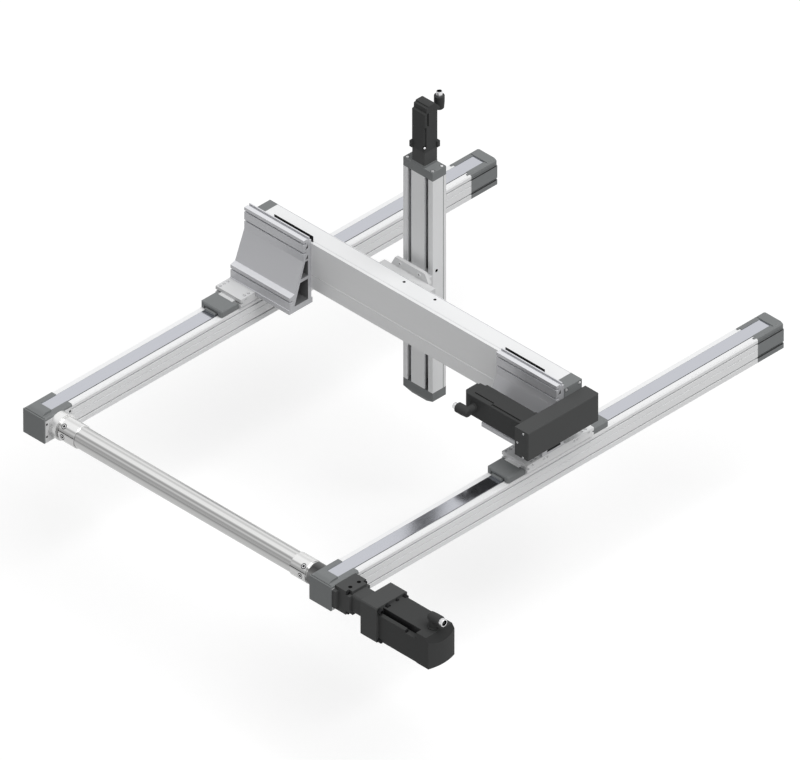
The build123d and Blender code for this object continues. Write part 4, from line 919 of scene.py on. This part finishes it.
class GANTRY_OT_sockets(bpy.types.Operator):
    """Builds the angled plug sockets of the three motors"""

    bl_idname = "gantry.sockets"
    bl_label = "Plug sockets"

    def execute(self, context):
        # Radius and rise of the stub, radius and length of the barrel and then of the bright ring
        small = (0.0115, 0.030, 0.0145, 0.043, 0.009, 0.012)
        large = (0.014, 0.033, 0.014, 0.042, 0.011, 0.012)
        low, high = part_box("x_motor_connector")
        place = axes((SHAFT_X, high.y, low.z), Z_AXIS, -Y_AXIS)
        self.socket("x_drive_socket", "base", "x_motor_connector", place, large)
        low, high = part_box("y_motor_connector")
        place = axes((high.x, low.y, (low.z + high.z) / 2), -X_AXIS, Y_AXIS)
        self.socket("y_motor_socket", "bridge", "y_motor_connector", place, small)
        low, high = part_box("z_motor_connector")
        place = axes((low.x, (low.y + high.y) / 2, low.z), X_AXIS, Z_AXIS)
        self.socket("z_motor_socket", "z_frame", "z_motor_connector", place, small)
        return {"FINISHED"}

    def socket(self, name, body, node, place, size):
        """One socket in the place of its plain node."""
        mesh = bmesh.new()
        socket_shape(mesh, place, size)
        piece = built(name, mesh, body, ["motor", "bright_screw", "hole"])
        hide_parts(node)


class GANTRY_OT_motors(bpy.types.Operator):
    """Builds the three motors with their grooves, lugs and caps"""

    bl_idname = "gantry.motors"
    bl_label = "Motors"

    def execute(self, context):
        self.large_motor()
        low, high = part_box("y_motor")
        place = axes(((low.x + high.x) / 2, low.y, (low.z + high.z) / 2), -X_AXIS, Y_AXIS)
        self.small_motor("y_motor_housing", "bridge", "y_motor", place, (0.0, high.y - low.y), 0.0325, 0.0335,
                         0.026, (0.004, 0.012, 0.0142, 0.0185))
        low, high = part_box("z_motor")
        place = axes(((low.x + high.x) / 2, (low.y + high.y) / 2, low.z), X_AXIS, Z_AXIS)
        self.small_motor("z_motor_housing", "z_frame", "z_motor", place, (0.049, high.z - low.z), 0.02435,
                         0.029, 0.022, (0.0, 0.0068, 0.0080, 0.0150))
        return {"FINISHED"}

    def large_motor(self):
        """The X drive's motor with the channel and bar along its upper edge."""
        low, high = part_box("x_motor")
        half = (high.x - low.x) / 2
        length = high.y - low.y
        place = axes((SHAFT_X, high.y, SHAFT_UP), Z_AXIS, -Y_AXIS)
        inner = half - 1.5 * MM
        bevel = 0.8 * MM
        floor = 26.6 * MM
        foot = [(-half, -inner), (-inner, -half), (inner, -half), (half, -inner)]
        channel = [(half, 0.0300), (floor, 0.0306)]
        bar = [(floor, 0.0385), (0.0366, 0.0392), (0.0340, half - bevel), (0.0332, half)]
        bare = [(floor, half - bevel), (floor - bevel, half)]
        close = [(-inner, half), (-half, inner)]
        bar_end = length * 0.7
        mesh = bmesh.new()
        prism(mesh, foot + channel + bar + close, 0.0, bar_end, place)
        prism(mesh, foot + channel + bare + close, bar_end, length, place)
        # A thin dark sheet along the channel's wall is painted shade
        inset = 0.4 * MM
        mouth = half - 1.2 * MM
        painted_channel_shade = [(floor + inset, 0.0303), (mouth, 0.0297), (mouth, 0.0304), (floor + inset, 0.0311)]
        prism(mesh, painted_channel_shade, inset, length - inset, place, 1)
        cap = bar_end + 3 * MM
        rings = [(0.0050, bar_end, 0, 1), (0.0050, cap, 0, 1), (0.0036, cap, 0, 1)]
        ring_stack(mesh, rings, place @ Matrix.Translation((0.0295, 0.0430, 0)))
        piece = built("x_drive_housing", mesh, "base", ["motor", "black_screw"])
        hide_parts("x_motor")

    def small_motor(self, name, body, node, place, ends, half, reach, cap, groove):
        """A small motor: adapter where there is room, corner lugs, grooved housing and stepped cap.

        The half is that of the housing's width, the reach is how far the lugs stand out, and the groove
        holds both sides of the groove in the front part of the housing and in its rear part.
        """
        start, end = ends
        edge = 1.5 * MM
        fine = 0.6 * MM
        mesh = bmesh.new()
        if start:
            # Half width, broken corner, both ends and finish of each step
            steps = ((0.024, fine, 0.0, 0.0065, 1), (0.0236, 0.0008, 0.0065, start - fine, 2),
                     (0.0225, 0.0008, start - fine, start, 4))
            # The narrow last step is painted shade where the adapter meets the housing
            for size, corner, near, far, look in steps:
                prism(mesh, broken_square(size, corner), near, far, place, look)
        lug_end = start + 18.4 * MM
        cap_start = end - cap
        change = lug_end + (cap_start - lug_end) * 0.6
        prism(mesh, broken_square(half, edge), start, lug_end, place)
        front_near, front_far, rear_near, rear_far = groove
        deep = 4 * MM
        front = rebated_square(half, edge, front_far, deep)
        if front_near:
            front = grooved_square(half, edge, front_near, front_far, deep)
        prism(mesh, front, lug_end, change, place)
        prism(mesh, grooved_square(half, edge, rear_near, rear_far, deep), change, cap_start, place)
        back = reach - 10 * MM
        for x, y in ((1, 1), (-1, 1), (1, -1)):
            lug = [(back, back), (reach, back), (reach, reach - fine), (reach - fine, reach), (back, reach)]
            prism(mesh, [(x * across, y * up) for across, up in lug], start, lug_end, place)
        spot = 1.2 * MM - half
        seat = place @ facing((spot, spot, start + 15.5 * MM), (-1.0, -1.0, 0.25))
        # The dark seat ring round the corner screw is painted shade
        ring_stack(mesh, [(0.0055, -0.002, 0, 4), (0.0055, 0.0002, 0, 4), (0.0046, 0.0003, 0, 4)], seat)
        ring_stack(mesh, [(0.0032, 0.0, 0, 3), (0.0032, 0.0012, 0, 3), (0.0022, 0.0022, 0, 3)], seat)
        side = half - fine
        first = 7 * MM - half
        second = 14 * MM - half
        shoulder = cap_start + cap * 0.78
        outline = [(-side, cap_start), (-side, cap_start + 0.0012), (first, cap_start + 0.0030),
                   (first + 0.0008, shoulder), (second, shoulder + 0.0010), (second + 0.0004, end - fine),
                   (second + 0.0010, end), (half - 0.0110, end), (half - 0.0070, end - 0.0022),
                   (half - 0.0025, end - 0.0085), (side, end - 0.0140), (side, cap_start)]
        prism(mesh, outline, -side, side, place @ SIDEWAYS)
        piece = built(name, mesh, body, ["motor", "cover", "black", "bright_screw", "hole"])
        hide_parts(node)


class GANTRY_OT_couplings(bpy.types.Operator):
    """Builds the two clamping couplings with their claws, slits and clamp screws"""

    bl_idname = "gantry.couplings"
    bl_label = "Clamping couplings"

    def execute(self, context):
        low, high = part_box("shaft_couplings")
        mesh = bmesh.new()
        for face, inward in ((low.y, 1), (high.y, -1)):
            self.hub(mesh, axes((SHAFT_X, face, SHAFT_UP), X_AXIS, Y_AXIS * inward), inward)
        looks = ["hub", "hole", "bright_screw", "black_screw"]
        piece = built("clamping_couplings", mesh, "cross_shaft", looks)
        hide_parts("shaft_couplings")
        return {"FINISHED"}

    def hub(self, mesh, place, inward):
        """One coupling, with its height running from the head towards the tube."""
        rings = [(0.0285, 0.0), (0.0285, 0.0055), (0.0326, 0.0055), (0.0338, 0.0067), (0.0338, 0.0613),
                 (0.0326, 0.0625)]
        fine_steps = 72
        ring_stack(mesh, rings, place, fine_steps)
        claw = [(0.018, -0.006), (0.0295, -0.0085), (0.0305, -0.004), (0.0305, 0.004), (0.0295, 0.0085),
                (0.018, 0.006)]
        for number in range(6):
            turn = place @ Matrix.Rotation(math.radians(60 * number + 20), 4, "Z")
            prism(mesh, claw, 0.4 * MM, 5.8 * MM, turn)
        for degrees, along in ((133, 18.5 * MM), (185, 21.5 * MM)):
            self.clamp_screw(mesh, place, self.outward(degrees, inward), along, 8 * MM)
        way = self.outward(162, inward)
        turn = place @ Matrix.Rotation(math.atan2(way.y, way.x), 4, "Z")
        # The slit is a thin dark bar standing just proud of the hub, painted shade for the cut
        slit = rectangle(31.5 * MM, -0.9 * MM, 33.95 * MM, 0.9 * MM)
        prism(mesh, slit, 6.2 * MM, 61.8 * MM, turn, 1)

    def outward(self, degrees, inward):
        """The way out from the shaft, turned the same way on both couplings."""
        angle = math.radians(degrees)
        return Vector((math.cos(angle), -math.sin(angle) * inward, 0))

    def clamp_screw(self, mesh, place, outward, along, radius):
        """A clamp screw's round pocket rim, dark with painted shade, and its head, set in the hub's side."""
        seat = place @ facing(outward * 31.8 * MM + Z_AXIS * along, outward)
        rim = 2.1 * MM
        head = 2.15 * MM
        ring_stack(mesh, [(radius, -0.004, 0, 1), (radius, rim, 0, 1), (radius * 0.82, rim, 0, 1)], seat)
        ring_stack(mesh, [(radius * 0.74, 0.0, 0, 2), (radius * 0.74, head, 0, 2), (radius * 0.5, head, 6, 2),
                          (radius * 0.5, 0.0012, 6, 1)], seat)


class GANTRY_OT_stage(bpy.types.Operator):
    """Sets the floor, the soft lamp, the pale surroundings and the camera"""

    bl_idname = "gantry.stage"
    bl_label = "Studio"

    def execute(self, context):
        scene = context.scene
        scene.view_settings.view_transform = "Standard"
        stage = scene.gantry_stage
        self.floor(stage)
        self.lamp(stage)
        self.surroundings(scene, stage)
        self.camera(scene, stage)
        return {"FINISHED"}

    def seen(self, tree):
        """One for the camera and in reflections, nothing for the light that falls on the part."""
        path = tree.nodes.new("ShaderNodeLightPath").outputs
        return worked_out(tree, "Math", "MAXIMUM", path["Is Camera Ray"], path["Is Glossy Ray"])

    def floor(self, stage):
        """A wide pale floor that stays white to the camera and keeps the shadow."""
        mesh = bmesh.new()
        wide = 9
        corners = rectangle(-wide, -wide, wide, wide)
        mesh.faces.new([mesh.verts.new((x, y, -stage.floor_drop)) for x, y in corners])
        data = bpy.data.meshes.new("studio_floor")
        mesh.to_mesh(data)
        mesh.free()
        floor = bpy.data.objects.new("studio_floor", data)
        bpy.context.scene.collection.objects.link(floor)
        material, tree, shader = new_finish("studio_floor")
        shader.inputs["Base Color"].default_value = (0.5, 0.5, 0.5, 1.0)
        shader.inputs["Roughness"].default_value = 0.9
        shader.inputs["Specular IOR Level"].default_value = 0.0
        shader.inputs["Emission Color"].default_value = (1.0, 1.0, 1.0, 1.0)
        glow = worked_out(tree, "Math", "MULTIPLY", self.seen(tree), 0.56)
        tree.links.new(glow, shader.inputs["Emission Strength"])
        data.materials.append(material)

    def lamp(self, stage):
        """One very soft lamp, overhead and to the right."""
        light = bpy.data.lights.new("overhead", "SUN")
        light.energy = stage.sun
        light.angle = math.radians(50)
        lamp = bpy.data.objects.new("overhead", light)
        lamp.matrix_world = facing((0, 0, 3), (0.0, -0.26, 0.55))
        bpy.context.scene.collection.objects.link(lamp)

    def surroundings(self, scene, stage):
        """Even light from all round, white to the camera and in reflections."""
        world = bpy.data.worlds.new("studio")
        world.use_nodes = True
        tree = world.node_tree
        tree.nodes.clear()
        out = tree.nodes.new("ShaderNodeOutputWorld")
        light = tree.nodes.new("ShaderNodeBackground")
        level = carried(tree, self.seen(tree), 0.0, 1.0, stage.ambient, 1.0)
        tree.links.new(level, light.inputs["Strength"])
        tree.links.new(light.outputs["Background"], out.inputs["Surface"])
        scene.world = world

    def camera(self, scene, stage):
        """The long lens, at the photograph's angle."""
        look_at = Vector((-0.1766, 0.3739, 0.2))
        back = Vector((-1, -1, 1)).normalized()
        view = bpy.data.cameras.new("camera")
        view.lens = stage.lens
        view.sensor_width = 36.0
        view.clip_end = 400.0
        view.clip_start = 1.0
        camera = bpy.data.objects.new("camera", view)
        place = look_at + back * stage.distance
        camera.matrix_world = facing(place, back)
        bpy.context.scene.collection.objects.link(camera)
        scene.camera = camera


PIECES = (
    GANTRY_OT_finishes,
    GANTRY_OT_block_screws,
    GANTRY_OT_plate_screws,
    GANTRY_OT_head_screws,
    GANTRY_OT_drive_bolts,
    GANTRY_OT_carriage_holes,
    GANTRY_OT_box_screws,
    GANTRY_OT_beam_bars,
    GANTRY_OT_beam_lines,
    GANTRY_OT_sockets,
    GANTRY_OT_motors,
    GANTRY_OT_couplings,
    GANTRY_OT_stage,
)


class GANTRY_PT_parts(bpy.types.Panel):
    """Lists the gantry's pieces, sizes and colours"""

    bl_label = "Gantry"
    bl_idname = "GANTRY_PT_parts"
    bl_space_type = "VIEW_3D"
    bl_region_type = "UI"
    bl_category = "Gantry"

    def draw(self, context):
        layout = self.layout
        for piece in PIECES:
            layout.operator(piece.bl_idname)
        for group in (context.scene.gantry_sizes, context.scene.gantry_colours, context.scene.gantry_stage):
            box = layout.box()
            for name in group.__annotations__:
                box.prop(group, name)


CLASSES = (GantrySizes, GantryColours, GantryStage) + PIECES + (GANTRY_PT_parts,)


def register():
    for each in CLASSES:
        bpy.utils.register_class(each)
    bpy.types.Scene.gantry_sizes = PointerProperty(type=GantrySizes)
    bpy.types.Scene.gantry_colours = PointerProperty(type=GantryColours)
    bpy.types.Scene.gantry_stage = PointerProperty(type=GantryStage)


def unregister():
    del bpy.types.Scene.gantry_stage
    del bpy.types.Scene.gantry_colours
    del bpy.types.Scene.gantry_sizes
    for each in reversed(CLASSES):
        bpy.utils.unregister_class(each)


def main():
    """Dresses the whole gantry, piece by piece."""
    register()
    for piece in PIECES:
        family, action = piece.bl_idname.split(".")
        getattr(getattr(bpy.ops, family), action)()


if __name__ == "__main__":
    main()
